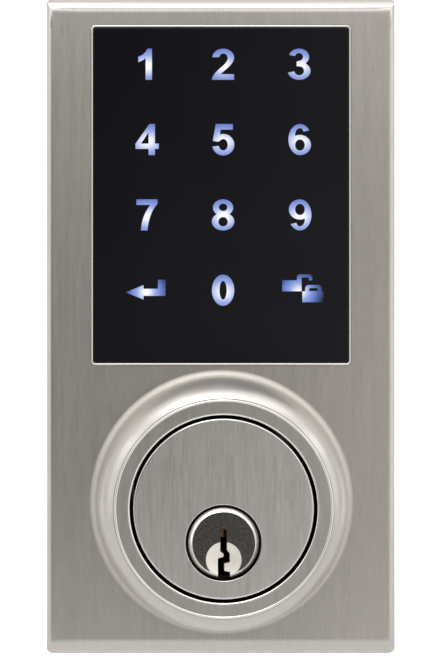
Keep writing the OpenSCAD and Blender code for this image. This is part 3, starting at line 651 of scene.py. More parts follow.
@dataclass(frozen=True)
class LitLegend(Finish):
    """Light that shows through the print: white over its lamp, blue further off, and dark at the end.

    The piece's own map, lamp_map, holds the distance from the lamp in units of the lamp's reach.
    """

    stops: tuple[tuple[float, Colour], ...] = (
        (0.10, (0.96, 0.97, 1.0)), (0.23, (0.61, 0.67, 0.91)), (0.38, (0.30, 0.39, 0.75)),
        (0.58, (0.156, 0.225, 0.60)), (0.77, (0.060, 0.105, 0.32)), (1.0, (0.0015, 0.002, 0.006)),
    )

    def recipe(self) -> Recipe:
        """A ramp over the distance from the lamp colours the light, and noise mottles it a little."""
        r = Recipe(self.name, 0.08)
        where = r.node("UVMap", uv_map="lamp_map").outputs["UV"]
        away = r.wired(r.node("VectorMath", operation="LENGTH"), {0: where}, "Value")
        mottle = r.spread(r.noise(1500.0, 2.0), 0.3, 0.7, (-0.02, 0.02))
        r.give("Base Color", (0.006, 0.006, 0.008))
        r.give("Emission Color", r.ramp(r.math("ADD", away, mottle), *self.stops))
        r.give("Emission Strength", 1.0)
        r.give("Specular IOR Level", 0.34)
        return r


@dataclass(frozen=True)
class CircuitBoard(Finish):
    """Solder mask over fine copper tracks."""

    colour: Colour = (0.02, 0.13, 0.06)

    def recipe(self) -> Recipe:
        """Straight-edged cells stand for tracks and pads under the mask."""
        r = Recipe(self.name, 0.32)
        cells = r.node("TexVoronoi", Vector=r.place(420.0), distance="CHEBYCHEV", feature="F1", Scale=1.0)
        track = r.spread(cells.outputs["Distance"], 0.30, 0.36)
        pale = tuple(min(1.0, c * 1.9 + 0.01) for c in self.colour)
        r.give("Base Color", r.blend(track, pale, self.colour))
        r.bump(track, 0.3, 3e-5)
        return r


@dataclass(frozen=True)
class CellSleeve(Finish):
    """Printed sleeve of a dry cell: a coloured body with a metal-coloured band at its ends."""

    colour: Colour = (0.035, 0.14, 0.26)
    band: Colour = (0.62, 0.46, 0.22)
    middle: float = 0.0
    half: float = 0.012

    def recipe(self) -> Recipe:
        """Height above the cell's middle picks the band, and fine noise varies the print."""
        r = Recipe(self.name, 0.28, 0.35)
        away = r.math("ABSOLUTE", r.math("SUBTRACT", r.axis("Z"), self.middle))
        banded = r.spread(away, self.half, self.half + 0.0002)
        grain = r.spread(r.noise(1400.0, 2.0), 0.3, 0.7, (0.0, 0.25))
        body = r.blend(grain, self.colour, tuple(c * 0.6 for c in self.colour))
        r.give("Base Color", r.blend(banded, body, self.band))
        r.bump(r.noise(700.0, 2.0), 0.1, 1e-5)
        return r


NICKEL = CastMetal("satin_nickel_brushed", edge_roughness=0.29)
NICKEL_SMOOTH = BrushedMetal("satin_nickel_cast", roughness=0.30, grain=Grain.NONE, streaks=0.05, depth=3e-6)
# gap_from paints shade on the disc's surfaces more than 0.7 mm behind its face, such as inside the sunk hole
# round the plug.
NICKEL_DISC = BrushedMetal("satin_nickel_disc", (0.72, 0.70, 0.67), 0.33, edge_roughness=0.13,
                           gap_from=-29.4 * MM)
BRIGHT = PolishedMetal("bright_nickel_trim")
PLUG_METAL = PlugMetal("plug_plating")
BRASS = PolishedMetal("machined_brass", (0.58, 0.42, 0.18), 0.24, 0.2)
SPRING_STEEL = PolishedMetal("spring_steel", (0.62, 0.62, 0.63), 0.2, 0.15)
ZINC = BrushedMetal("zinc_plated_steel", (0.60, 0.61, 0.62), 0.36, Grain.ACROSS, 0.10)
CAST = BrushedMetal("die_cast_zinc", (0.42, 0.42, 0.43), 0.45, Grain.NONE, 0.10)
MOTOR_CAN = PolishedMetal("motor_can_nickel", (0.66, 0.66, 0.67), 0.22, 0.1)
GLASS = CoverGlass("black_cover_glass")
LEGEND = LitLegend("lit_legend")
PAINT = SatinPaint("satin_nickel_paint")
BLACK = Moulded("black_moulding")
RUBBER = Moulded("black_rubber_sheet", (0.022, 0.022, 0.022), 0.75, 900.0, 4e-5, 0.15)
FOAM = Moulded("foam_tape", (0.02, 0.02, 0.02), 0.9, 3200.0, 6e-5, 0.0)
FILM = Moulded("legend_print_film", (0.02, 0.02, 0.028), 0.4, 3000.0, 4e-6, 0.0)
DIFFUSER = Moulded("frosted_diffuser", (0.78, 0.82, 0.85), 0.35, 1500.0, 8e-6, 0.0)
GREY = Moulded("glass_filled_grey", (0.075, 0.077, 0.085), 0.55)
CHIP = Moulded("chip_package", (0.025, 0.025, 0.027), 0.6, 4200.0, 8e-6, 0.1)
WIRE_BLACK = Moulded("cable_jacket_black", (0.018, 0.018, 0.02), 0.42, 1600.0, 1e-5, 0.0)
WIRE_RED = Moulded("wire_insulation_red", (0.33, 0.02, 0.018), 0.38, 1600.0, 8e-6, 0.0)
IVORY = Moulded("connector_ivory", (0.74, 0.70, 0.58), 0.45, 1800.0, 8e-6, 0.1)
ACETAL = Moulded("gear_acetal", (0.72, 0.70, 0.62), 0.4, 1500.0, 8e-6, 0.1)
RED = Moulded("cam_red", (0.50, 0.045, 0.025), 0.42, 1800.0, 8e-6, 0.1)
LED = Moulded("led_phosphor", (0.86, 0.80, 0.50), 0.3, 2500.0, 4e-6, 0.0)
BOARD = CircuitBoard("solder_mask_green")


# ---------------------------------------------------------------- outside unit


@dataclass
class Escutcheon:
    """The cast plate: a flat brushed face, round edges, a screen window and the raised cylinder guard."""

    half_w: float = 33.5 * MM
    half_h: float = 63.5 * MM
    middle: float = 33.5 * MM
    face: float = -20.0 * MM
    rim: float = -1.5 * MM
    corner: float = 2.3 * MM
    edge_long: float = 3.7 * MM
    edge_side: float = 1.5 * MM
    wall: float = 2.5 * MM
    window: tuple[float, float] = (49.9 * MM, 65.2 * MM)
    window_middle: float = 58.45 * MM
    split: float = 25.55 * MM
    bore: float = 17.15 * MM
    crest: float = 20.1 * MM
    guard: float = 23.7 * MM
    guard_height: float = 10.3 * MM
    shoulder: float = 3.2 * MM
    turn: float = math.radians(65)
    fillet: float = 1.5 * MM
    tube_wall: float = 2.0 * MM
    tube_end: float = -9.2 * MM
    border: float = 0.06 * MM
    bore_ease: float = 0.34 * MM
    ledge: float = 0.14 * MM
    rise: float = 0.30 * MM
    bead: float = 0.26 * MM
    support: float = 0.05 * MM
    near: float = 0.25 * MM
    cave_inset: float = 3.0 * MM
    side_points: int = 12
    arc_points: int = 32
    up: np.ndarray = field(init=False)
    even: np.ndarray = field(init=False)

    def __post_init__(self) -> None:
        """Works out the fractions that make every loop meet the face's two panels point for point."""
        n = self.side_points
        self.even = np.arange(1, n + 1) / (n + 1)
        self.up = self.fractions(*self.ends(self.edge_long + self.border))

    def ends(self, inset: float) -> Range:
        """Heights of the plate's lower and upper end, drawn in by an inset."""
        return self.middle - self.half_h + inset, self.middle + self.half_h - inset

    def fractions(self, low: float, high: float) -> np.ndarray:
        """Fractions between two heights, with one at the split between the face's two panels."""
        cut = (self.split - low) / (high - low)
        return np.concatenate([self.even * cut, [cut], cut + self.even * (1 - cut)])

    def section(self, drop: float, inset_by: float = 0.0) -> np.ndarray:
        """Outline of the plate at a depth behind its face.

        Each edge is a quarter circle: at a depth h the side stands in from the outline by
        r - sqrt(r^2 - (r - h)^2). The upright corner arc cuts what is left of the square corner.

        Args:
            drop: depth behind the face.
            inset_by: how far the outline is drawn in besides.

        Returns:
            The outline as points in space.
        """
        def inset(r: float) -> float:
            return r - math.sqrt(max(0.0, r * r - max(0.0, r - drop) ** 2))

        a = self.half_w - inset(self.edge_side) - inset_by
        b = self.half_h - inset(self.edge_long) - inset_by
        cx, cz = self.half_w - self.corner, self.half_h - self.corner
        start = math.acos(min(1.0, (a - cx) / self.corner))
        end = math.asin(min(1.0, max(0.0, (b - cz) / self.corner)))
        angle = np.linspace(start, max(start, end), self.arc_points + 1)
        arc = np.column_stack([cx + self.corner * np.cos(angle), cz + self.corner * np.sin(angle)])
        sharp = np.tile([a, b], (self.arc_points + 1, 1))
        corner = arc if end > start else sharp
        return placed(closed_loop(corner, self.up, self.even), self.face + drop, (0.0, self.middle))

    def panel(self, low: float, high: float, half_w: float, y: float) -> np.ndarray:
        """Rectangle between two heights at a depth, with points that match its neighbours."""
        half = (high - low) / 2
        corner = np.tile([half_w, half], (self.arc_points + 1, 1))
        return placed(closed_loop(corner, self.even, self.even), y, (0.0, (low + high) / 2))

    def circle(self, radius: float, y: float) -> np.ndarray:
        """Circle about the guard's axis."""
        corner = quarter_arc(radius, radius, radius, self.arc_points)
        return placed(closed_loop(corner, self.even, self.even), y)

    def window_loop(self, y: float, grown: float = 0.0) -> np.ndarray:
        """Outline of the screen's window, drawn out by an amount."""
        half_w, half_h = self.window[0] / 2 + grown, self.window[1] / 2 + grown
        corner = quarter_arc(half_w, half_h, 1.0 * MM + grown, self.arc_points)
        return placed(closed_loop(corner, self.even, self.even), y, (0.0, self.window_middle))

    def guard_profile(self) -> np.ndarray:
        """Radius and height of the guard from the face to its bore.

        A hollow quarter circle leaves the face, a short wall rises to the shoulder, and an ellipse turns
        over it to a narrow ledge. A fine round bead stands on the ledge, a flat ring lies a little lower
        inside it, and the bore's edge is a small quarter circle.

        Returns:
            Rows of radius and height above the face.
        """
        ease, bead = self.bore_ease, self.bead
        a = np.linspace(-math.pi / 2, -math.pi, 9)
        hollow = np.column_stack([
            self.guard + self.fillet + self.fillet * np.cos(a),
            self.fillet + self.fillet * np.sin(a),
        ])
        b = np.linspace(0.0, self.turn, 33)
        across = (self.guard - self.crest - self.ledge) / (1 - math.cos(self.turn))
        up = (self.guard_height - self.rise - self.shoulder) / math.sin(self.turn)
        over = np.column_stack([self.guard - across * (1 - np.cos(b)), self.shoulder + up * np.sin(b)])
        d = np.linspace(0.0, math.radians(140), 12)
        crown = np.column_stack([
            self.crest - bead + bead * np.cos(d), self.guard_height - bead + bead * np.sin(d),
        ])
        step = np.vstack([[[self.crest, self.guard_height - self.rise]], crown])
        low = crown[-1, 1]
        step = np.vstack([step, [[crown[-1, 0] - self.support, low]]])
        c = np.linspace(math.pi / 2, math.pi, 8)
        into = np.column_stack([self.bore + ease + ease * np.cos(c), low - ease + ease * np.sin(c)])
        before = np.array([[self.bore + ease + self.support, low]])
        return np.vstack([hollow, over, step, before, into])

    def build(self) -> bpy.types.Object:
        """Makes the plate: outside, flat face, guard, bore, inside wall and window, as one closed shell."""
        edge = 1 - np.cos(np.linspace(0, math.pi / 2, 17))
        drops = [*np.unique(np.concatenate([edge * self.edge_side, edge * self.edge_long]))]
        outside = [self.section(0.0, self.border)] + [self.section(d) for d in drops]
        outside.append(self.section(self.rim - self.face))
        low, high = self.ends(self.edge_long + self.border)
        flat_w = self.half_w - self.edge_side - self.border
        inner = self.face + self.wall
        cave_w, cave_h = self.half_w - self.wall, self.half_h - self.cave_inset
        floor, roof = self.ends(self.cave_inset)
        tube = self.bore + self.tube_wall
        skin = Skin()
        skin.loft(outside)
        skin.loft([
            self.panel(self.split, high, flat_w, self.face),
            self.window_loop(self.face, self.near), self.window_loop(self.face),
        ])
        profile = self.guard_profile()
        skin.loft([
            self.panel(low, self.split, flat_w, self.face),
            self.circle(profile[0, 0] + self.near, self.face), self.circle(profile[0, 0], self.face),
        ])
        skin.loft([self.circle(r, self.face - h) for r, h in profile])
        bore = [self.circle(profile[-1, 0], self.face - profile[-1, 1]), self.circle(self.bore, self.tube_end)]
        skin.loft(bore + [self.circle(tube, self.tube_end), self.circle(tube, inner)])
        corner = np.tile([cave_w, cave_h], (self.arc_points + 1, 1))
        cave = closed_loop(corner, self.fractions(floor, roof), self.even)
        skin.loft([outside[-1]] + [placed(cave, y, (0.0, self.middle)) for y in (self.rim, inner)])
        skin.loft([self.panel(self.split, roof, cave_w, inner), self.window_loop(inner)])
        skin.loft([self.panel(floor, self.split, cave_w, inner), self.circle(tube, inner)])
        skin.loft([self.window_loop(self.face), self.window_loop(inner)])
        return skin.build("escutcheon_casting", 24.0)


@dataclass
class Screen:
    """The touch screen: its bright frame and the black glass."""

    width: float = 49.8 * MM
    height: float = 65.1 * MM
    middle: float = 58.45 * MM
    corner: float = 0.95 * MM
    face: float = -20.0 * MM
    rim: float = 0.45 * MM
    proud: float = 0.15 * MM
    glass_y: float = -19.9 * MM
    glass_t: float = 1.8 * MM
    opening: float = 2.4 * MM
    flange: float = 1.6 * MM

    def loop(self, inset: float, y: float, corner: float | None = None) -> np.ndarray:
        """The screen's outline, drawn in by an inset."""
        radius = max(0.25 * MM, self.corner - inset) if corner is None else corner
        arc = quarter_arc(self.width / 2 - inset, self.height / 2 - inset, radius, 10)
        even = np.arange(1, 5) / 5
        return placed(closed_loop(arc, even, even), y, (0.0, self.middle))

    def frame_piece(self) -> bpy.types.Object:
        """The bright frame: a half-round crown on a thin wall, with a ledge and a flange behind."""
        a = np.linspace(0, math.pi, 9)
        half = self.rim / 2
        front = self.face - self.proud
        crown = [self.loop(half - half * math.cos(t), front + half - half * math.sin(t)) for t in a]
        ledge = self.glass_y + self.glass_t + 0.6 * MM
        back = ledge + 1.2 * MM
        flange = self.face + 2.55 * MM
        inside = [self.loop(self.rim, ledge)] + [self.loop(self.opening, y, 1.0 * MM) for y in (ledge, back)]
        outside = [self.loop(-self.flange, y, 1.5 * MM) for y in (back, flange)] + [self.loop(0, flange)]
        return Skin().loft(crown + inside + outside + [crown[0]]).build("screen_frame")

    def glass_piece(self) -> bpy.types.Object:
        """The cover glass, with a fine rounded edge all round."""
        inset = self.rim + 0.1 * MM
        ease = 0.15 * MM
        a = np.linspace(0, math.pi / 2, 6)
        corner = 0.5 * MM
        front = [
            self.loop(inset + ease - ease * math.sin(t), self.glass_y + ease - ease * math.cos(t), corner)
            for t in a
        ]
        back = self.loop(inset, self.glass_y + self.glass_t, corner)
        flat = self.loop(inset + ease + 0.12 * MM, self.glass_y, corner)
        return Skin().loft([flat] + front + [back]).lid(flat).lid(back).build("cover_glass")


@dataclass
class Cylinder:
    """The lock cylinder's housing: a brushed disc with a sunk hole for the plug, a barrel and two ears."""

    radius: float = 16.6 * MM
    face: float = -30.1 * MM
    back: float = 2.0 * MM
    hole_z: float = -6.2 * MM
    sunk: float = 6.93 * MM
    depth: float = 2.2 * MM
    bore: float = 6.35 * MM
    ear_front: float = -5.2 * MM
    ear_back: float = -2.7 * MM
    ear_reach: float = 21.0 * MM
    ear_half: float = 6.5 * MM
    ear_root: float = 5.5 * MM
    post_hole: float = 3.85 * MM

    def barrel_piece(self) -> bpy.types.Object:
        """Carries a profile round two axes: the barrel's rounded rim, then the hole's, then the sunk bore.

        A rim is a quarter circle of radius e: at an angle t it stands e - e sin t in from the side and
        e - e cos t behind the face. The flat face runs from one rim's loop to the other's.
        """
        ease, lip = 0.42 * MM, 0.2 * MM
        t = np.linspace(0, math.pi / 2, 7)
        rim = [
            ring(self.radius - ease + ease * math.cos(a), self.face + ease - ease * math.sin(a)) for a in t
        ]
        hole = [
            ring(self.sunk + lip - lip * math.sin(a), self.face + lip - lip * math.cos(a), self.hole_z)
            for a in t
        ]
        near = 0.04 * MM
        flat = [
            ring(self.radius - ease - near, self.face), ring(self.sunk + lip + near, self.face, self.hole_z),
        ]
        floor = self.face + self.depth
        inside = [
            ring(self.sunk, floor, self.hole_z), ring(self.bore, floor, self.hole_z),
            ring(self.bore, self.back, self.hole_z),
        ]
        back = ring(self.radius, self.back)
        return Skin().loft([back] + rim + flat + hole + inside + [back]).build("cylinder_barrel")

    def ears_piece(self) -> bpy.types.Object:
        """Two flat ears with rounded edges, each with a hole for its post and its root inside the barrel.

        Seen from its post at an angle a, an ear's outline is a circle on the outer side, and on the inner
        side the nearer of its straight flank, half / |sin a|, and its root, depth / |cos a|.
        """
        ease = 0.3 * MM
        a = np.linspace(0, 2 * math.pi, 72, endpoint=False)
        sine, cosine = np.abs(np.sin(a)) + 1e-9, np.abs(np.cos(a)) + 1e-9
        circle = np.column_stack([np.cos(a), np.sin(a)])
        t = np.linspace(0, math.pi / 2, 5)
        insets = np.concatenate([ease - ease * np.sin(t), (ease - ease * np.sin(t))[::-1]])
        front = self.ear_front + ease - ease * np.cos(t)
        rear = self.ear_back - ease + ease * np.cos(t)
        depths = np.concatenate([front, rear[::-1]])
        skin = Skin()
        for side in (-1, 1):
            def loop(reach: np.ndarray | float, y: float) -> np.ndarray:
                outline = circle * np.reshape(reach, (-1, 1)) * [side, 1]
                return placed(outline, y, (side * self.ear_reach, 0.0))

            rows = []
            for inset, y in zip(insets, depths):
                half = self.ear_half - inset
                inner = np.minimum(half / sine, self.ear_root / cosine)
                rows.append(loop(np.where(np.cos(a) >= 0, half, inner), y))
            hole = [loop(np.full(len(a), self.post_hole), y) for y in (self.ear_front, self.ear_back)]
            skin.loft([hole[0]] + rows + [hole[1], hole[0]])
        return skin.build("cylinder_ears")


def arc_of(cx: float, cy: float, rx: float, ry: float, start: float, end: float) -> np.ndarray:
    """Points of an ellipse's arc between two angles in degrees, about one every nine degrees."""
    a = np.radians(np.linspace(start, end, max(3, int(abs(end - start) / 9) + 1)))
    return np.column_stack([cx + rx * np.cos(a), cy + ry * np.sin(a)])


def bow(*points: tuple[float, float]) -> np.ndarray:
    """Points of a curve that leaves its first point towards the second and ends at the third."""
    p = np.array(points)
    t = np.linspace(0, 1, 9)[:, None]
    return (1 - t) ** 2 * p[0] + 2 * t * (1 - t) * p[1] + t ** 2 * p[2]


def chain(*parts: object) -> np.ndarray:
    """Joins points and runs of points into one outline."""
    return np.vstack([np.atleast_2d(np.array(p, float)) for p in parts])


def six() -> list[np.ndarray]:
    """Outline and hole of the figure six."""
    outer = chain(
        arc_of(0.375, 0.5, 0.37, 0.5, 36, 270), arc_of(0.375, 0.325, 0.355, 0.325, -81, 116),
        bow((0.215, 0.64), (0.235, 0.865), (0.39, 0.865)), bow((0.39, 0.865), (0.465, 0.86), (0.485, 0.755)),
    )
    return [outer, arc_of(0.375, 0.325, 0.155, 0.18, 0, 351)]


def figures() -> dict[str, list[np.ndarray]]:
    """Outlines of the ten figures of a plain bold face, one high, each with its holes after it."""
    nine = [np.array([0.75, 1.0]) - loop for loop in six()]
    return {
        "0": [arc_of(0.36, 0.5, 0.36, 0.5, 0, 351), arc_of(0.36, 0.5, 0.115, 0.30, 0, 351)],
        "1": [chain((0.53, 0), (0.53, 1), (0.39, 1), bow((0.375, 0.98), (0.29, 0.80), (0.09, 0.745)),
                    bow((0.09, 0.57), (0.23, 0.61), (0.325, 0.70)), (0.325, 0))],
        "2": [chain(arc_of(0.365, 0.705, 0.35, 0.295, 176, 0), bow((0.715, 0.69), (0.69, 0.53), (0.46, 0.34)),
                    bow((0.45, 0.33), (0.33, 0.23), (0.285, 0.178)), (0.715, 0.178), (0.715, 0), (0, 0),
                    bow((0.0, 0.01), (0.03, 0.17), (0.25, 0.36)), bow((0.26, 0.37), (0.50, 0.56), (0.51, 0.69)),
                    arc_of(0.37, 0.70, 0.14, 0.145, 0, 168))],
        "3": [chain(arc_of(0.345, 0.735, 0.325, 0.265, 166, -44), arc_of(0.35, 0.285, 0.365, 0.285, 54, -170),
                    arc_of(0.35, 0.29, 0.155, 0.145, -170, 76), (0.27, 0.435), (0.27, 0.585),
                    arc_of(0.345, 0.735, 0.13, 0.125, -72, 166))],
        "4": [chain((0.42, 0), (0.625, 0), (0.625, 0.20), (0.75, 0.20), (0.75, 0.37), (0.625, 0.37), (0.625, 1),
                    (0.45, 1), (0, 0.365), (0, 0.20), (0.42, 0.20)),
              chain((0.42, 0.37), (0.42, 0.73), (0.175, 0.37))],
        "5": [chain((0.125, 1), (0.675, 1), (0.675, 0.82), (0.285, 0.82), (0.26, 0.655),
                    arc_of(0.365, 0.335, 0.355, 0.345, 98, -170), arc_of(0.365, 0.335, 0.145, 0.185, -168, 138),
                    (0.19, 0.43), (0.03, 0.455))],
        "6": six(),
        "7": [chain((0.03, 1), (0.71, 1), (0.71, 0.865), bow((0.70, 0.85), (0.43, 0.55), (0.385, 0)), (0.175, 0),
                    bow((0.178, 0.05), (0.21, 0.47), (0.475, 0.82)), (0.03, 0.82))],
        "8": [chain(arc_of(0.36, 0.285, 0.36, 0.285, 54, -234), arc_of(0.36, 0.735, 0.325, 0.265, 234, -54)),
              arc_of(0.36, 0.745, 0.135, 0.12, 0, 351), arc_of(0.36, 0.28, 0.15, 0.15, 0, 351)],
        "9": nine,
    }


def signs() -> dict[str, list[np.ndarray]]:
    """Outlines in millimetres of the two signs: an enter arrow, and an open and a closed padlock."""
    arrow = chain((-4.0, -0.4), (-0.6, -1.8), (-0.6, -1.08), (3.6, -1.08), (3.6, 2.0), (2.15, 2.0), (2.15, 0.28),
                  (-0.6, 0.28), (-0.6, 1.0))
    opened = chain((-3.3, -0.2), (0.4, -0.2), (0.4, 2.2), bow((0.4, 2.3), (0.42, 2.45), (0.6, 2.45)),
                   bow((1.5, 2.45), (1.78, 2.45), (1.8, 2.2)), (1.8, 1.9), (2.45, 1.9),
                   bow((2.45, 2.4), (2.4, 3.05), (1.8, 3.05)), bow((0.2, 3.05), (-0.45, 3.05), (-0.5, 2.4)),
                   (-0.5, 1.9), (-3.3, 1.9))
    closed = chain((0.55, -2.3), (4.6, -2.3), (4.6, -0.2), (4.25, -0.2), bow((4.25, 0.3), (4.2, 1.0), (3.6, 1.0)),
                   bow((1.8, 1.0), (1.15, 1.0), (1.1, 0.3)), (1.1, -0.2), (0.55, -0.2))
    hole = chain((1.85, -0.15), (3.5, -0.15), bow((3.5, 0.1), (3.5, 0.42), (3.2, 0.42)),
                 bow((2.2, 0.42), (1.85, 0.42), (1.85, 0.1)))
    return {"enter": [arrow], "lock": [opened, closed, hole]}


@dataclass
class Legend:
    """One lit legend on the glass: a figure or a sign, and the lamp behind it."""

    name: str
    loops: list[np.ndarray]
    centre: tuple[float, float]
    lamp: tuple[float, float]
    reach: tuple[float, float]
    y: float
    thickness: float = 0.02 * MM

    def build(self) -> bpy.types.Object:
        """Fills the outlines as a thin plate and maps the distance from the lamp onto it."""
        curve = bpy.data.curves.new(self.name, "CURVE")
        curve.dimensions = "2D"
        curve.fill_mode = "BOTH"
        curve.extrude = self.thickness / 2
        for loop in self.loops:
            spline = curve.splines.new("POLY")
            spline.points.add(len(loop) - 1)
            flat = np.zeros((len(loop), 4))
            flat[:, :2] = loop
            flat[:, 3] = 1.0
            spline.points.foreach_set("co", flat.ravel())
            spline.use_cyclic_u = True
        holder = bpy.data.objects.new(self.name + "_curve", curve)
        bpy.context.scene.collection.objects.link(holder)
        data = bpy.data.meshes.new_from_object(holder)
        bpy.data.objects.remove(holder)
        co = np.empty(len(data.vertices) * 3)
        data.vertices.foreach_get("co", co)
        co = co.reshape(-1, 3)
        turned = np.column_stack([co[:, 0] + self.centre[0], self.y + co[:, 2], co[:, 1] + self.centre[1]])
        data.vertices.foreach_set("co", turned.ravel())
        with welded(data, 1e-7) as work:
            bmesh.ops.recalc_face_normals(work, faces=work.faces)
        data.name = self.name
        self.map_lamp(data)
        return finish_mesh(self.name, data, SMOOTH)

    def map_lamp(self, data: bpy.types.Mesh) -> None:
        """Writes lamp_map: each corner's place from the lamp, in units of the lamp's reach."""
        corner = np.empty(len(data.loops), int)
        data.loops.foreach_get("vertex_index", corner)
        co = np.empty(len(data.vertices) * 3)
        data.vertices.foreach_get("co", co)
        co = co.reshape(-1, 3)[corner]
        lamp = np.array(self.centre) + self.lamp
        away = (co[:, [0, 2]] - lamp) / self.reach
        layer = data.uv_layers.new(name="lamp_map")
        layer.data.foreach_set("uv", away.ravel())


@dataclass
class Keypad:
    """The twelve legends, three across and four down."""

    step_x: float = 14.6 * MM
    step_z: float = 14.4 * MM
    first: tuple[float, float] = (0.40 * MM, 40.3 * MM)
    height: float = 5.95 * MM
    y: float = -19.905 * MM
    order: tuple[tuple[str, ...], ...] = (
        ("1", "2", "3"), ("4", "5", "6"), ("7", "8", "9"), ("enter", "0", "lock"),
    )

    def legends(self) -> list[Legend]:
        """Works out every legend's place, its outlines and its lamp."""
        made = []
        shapes, marks = figures(), signs()
        for row, names in enumerate(self.order):
            for column, name in enumerate(names):
                centre = (self.first[0] + (column - 1) * self.step_x, self.first[1] + (3 - row) * self.step_z)
                if name in shapes:
                    loops = [(loop - [0.36, 0.5]) * self.height for loop in shapes[name]]
                    lamp, reach = (0.1 * MM, -0.35 * MM), (7.0 * MM, 5.5 * MM)
                else:
                    loops = [loop * MM for loop in marks[name]]
                    lamp = (-0.1 * MM, -0.4 * MM) if name == "enter" else (0.0, -0.3 * MM)
                    reach = (4.8 * MM, 4.5 * MM) if name == "enter" else (4.9 * MM, 4.3 * MM)
                made.append(Legend("legend_" + name, loops, centre, lamp, reach, self.y))
        return made


@dataclass
class SubAssembly:
    """A group of pieces that are made and settled together."""

    fine: float = 0.15 * MM
    light: float = 0.2 * MM
    firm: float = 0.25 * MM
    soft: float = 0.3 * MM

    def body_of(self, node: str) -> str:
        """Name of the body that a CAD node moves with."""
        bodies = frame["record"]["behaviour"]["bodies"]
        return next(body for body, nodes in bodies.items() if node in nodes)

    def ease(self, width: float, finish: Finish, slot: str, *nodes: str) -> None:
        """Replaces CAD nodes with copies that have eased edges.

        Args:
            width: width of the eased edge.
            finish: what the pieces are made of.
            slot: the record's material slot.
            nodes: the CAD nodes.
        """
        for node in nodes:
            settle(eased_copy(node, width), finish, self.body_of(node), slot, node)

    def dress(self, finish: Finish, *nodes: str) -> None:
        """Gives CAD nodes that keep their shape a finish."""
        for node in nodes:
            data = frame["nodes"][node].data
            data.materials.clear()
            data.materials.append(finish.material())
            LOG.info("%s keeps its shape", node)


@dataclass
class OutsideUnit(SubAssembly):
    """Everything in front of the door apart from the cylinder."""

    def build(self) -> None:
        """Makes the plate, the screen and its legends, and dresses what lies behind them."""
        settle(Escutcheon().build(), NICKEL, "root", "satin_nickel", "escutcheon")
        screen = Screen()
        settle(screen.frame_piece(), BRIGHT, "root", "bright_nickel", "screen_bezel")
        settle(screen.glass_piece(), GLASS, "root", "screen_glass", "touch_glass")
        for legend in Keypad().legends():
            settle(legend.build(), LEGEND, "root", "legend_film")
        for finish, node in (
            (FOAM, "glass_adhesive"), (FILM, "legend_film"), (DIFFUSER, "light_guide"), (BOARD, "touch_board"),
            (LED, "key_leds"), (CHIP, "touch_chips"), (BLACK, "buzzer"), (ZINC, "touch_board_screws"),
        ):
            self.dress(finish, node)
        self.ease(self.firm, RUBBER, "black_rubber", "door_gasket")
        self.ease(self.light, ZINC, "zinc_steel", "back_plate")
        self.ease(self.fine, ZINC, "zinc_steel", "back_plate_screws")


@dataclass
class LockCylinder(SubAssembly):
    """The cylinder: its housing, the turning plug and the pins."""

    chamfer: float = 0.12 * MM

    def build(self) -> None:
        """Makes the housing from its profile and eases the plug and its cap."""
        cylinder = Cylinder()
        settle(cylinder.barrel_piece(), NICKEL_DISC, "root", "satin_nickel", "cylinder_housing")
        settle(cylinder.ears_piece(), CAST, "root", "satin_nickel")
        self.ease(self.chamfer, PLUG_METAL, "bright_nickel", "plug")
        self.ease(self.firm, BRASS, "brass", "plug_cap")
        self.dress(BRASS, "key_pins", "driver_pins", "chamber_cap")
        self.dress(SPRING_STEEL, "pin_springs")


@dataclass
class DoorHardware(SubAssembly):
    """What passes through the door and clamps the two units to it."""

    def build(self) -> None:
        """Eases the posts, bolts, tailpiece and mounting plate, and dresses the cable."""
        self.ease(self.firm, ZINC, "zinc_steel", "mounting_posts")
        self.ease(self.light, ZINC, "zinc_steel", "through_bolts", "tailpiece")
        self.ease(self.soft, ZINC, "zinc_steel", "mounting_plate")
        self.dress(WIRE_BLACK, "signal_cable")
        self.dress(IVORY, "cable_plugs")


@dataclass
class GearTrain(SubAssembly):
    """The motor and the gears that turn the hub."""

    def build(self) -> None:
        """Dresses the gears, which keep their exact teeth."""
        self.dress(MOTOR_CAN, "motor")
        self.dress(BRASS, "motor_pinion")
        self.dress(ACETAL, "hub_gear", "low_idler", "high_idler")
        self.dress(SPRING_STEEL, "idler_pins")
        self.dress(ZINC, "gear_plate", "gear_plate_screws")
        self.dress(CAST, "drive_hub")
        self.dress(RED, "position_cam")


@dataclass
class PowerAndBoard(SubAssembly):
    """The circuit board, its parts, the batteries and their leads."""

    sleeve_half: float = 16.5 * MM

    def build(self) -> None:
        """Dresses the board and the batteries, whose band lies at the height where the cells do."""
        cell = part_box("batteries")
        middle = (cell[0].z + cell[1].z) / 2
        self.dress(CellSleeve("cell_sleeve_print", middle=middle, half=self.sleeve_half), "batteries")
        self.dress(BOARD, "main_board")
        self.dress(CHIP, "main_chips", "position_switches")
        self.dress(ZINC, "main_board_screws")
        self.dress(BLACK, "battery_tray")
        self.dress(SPRING_STEEL, "battery_contacts")
        self.dress(WIRE_RED, "inner_leads")


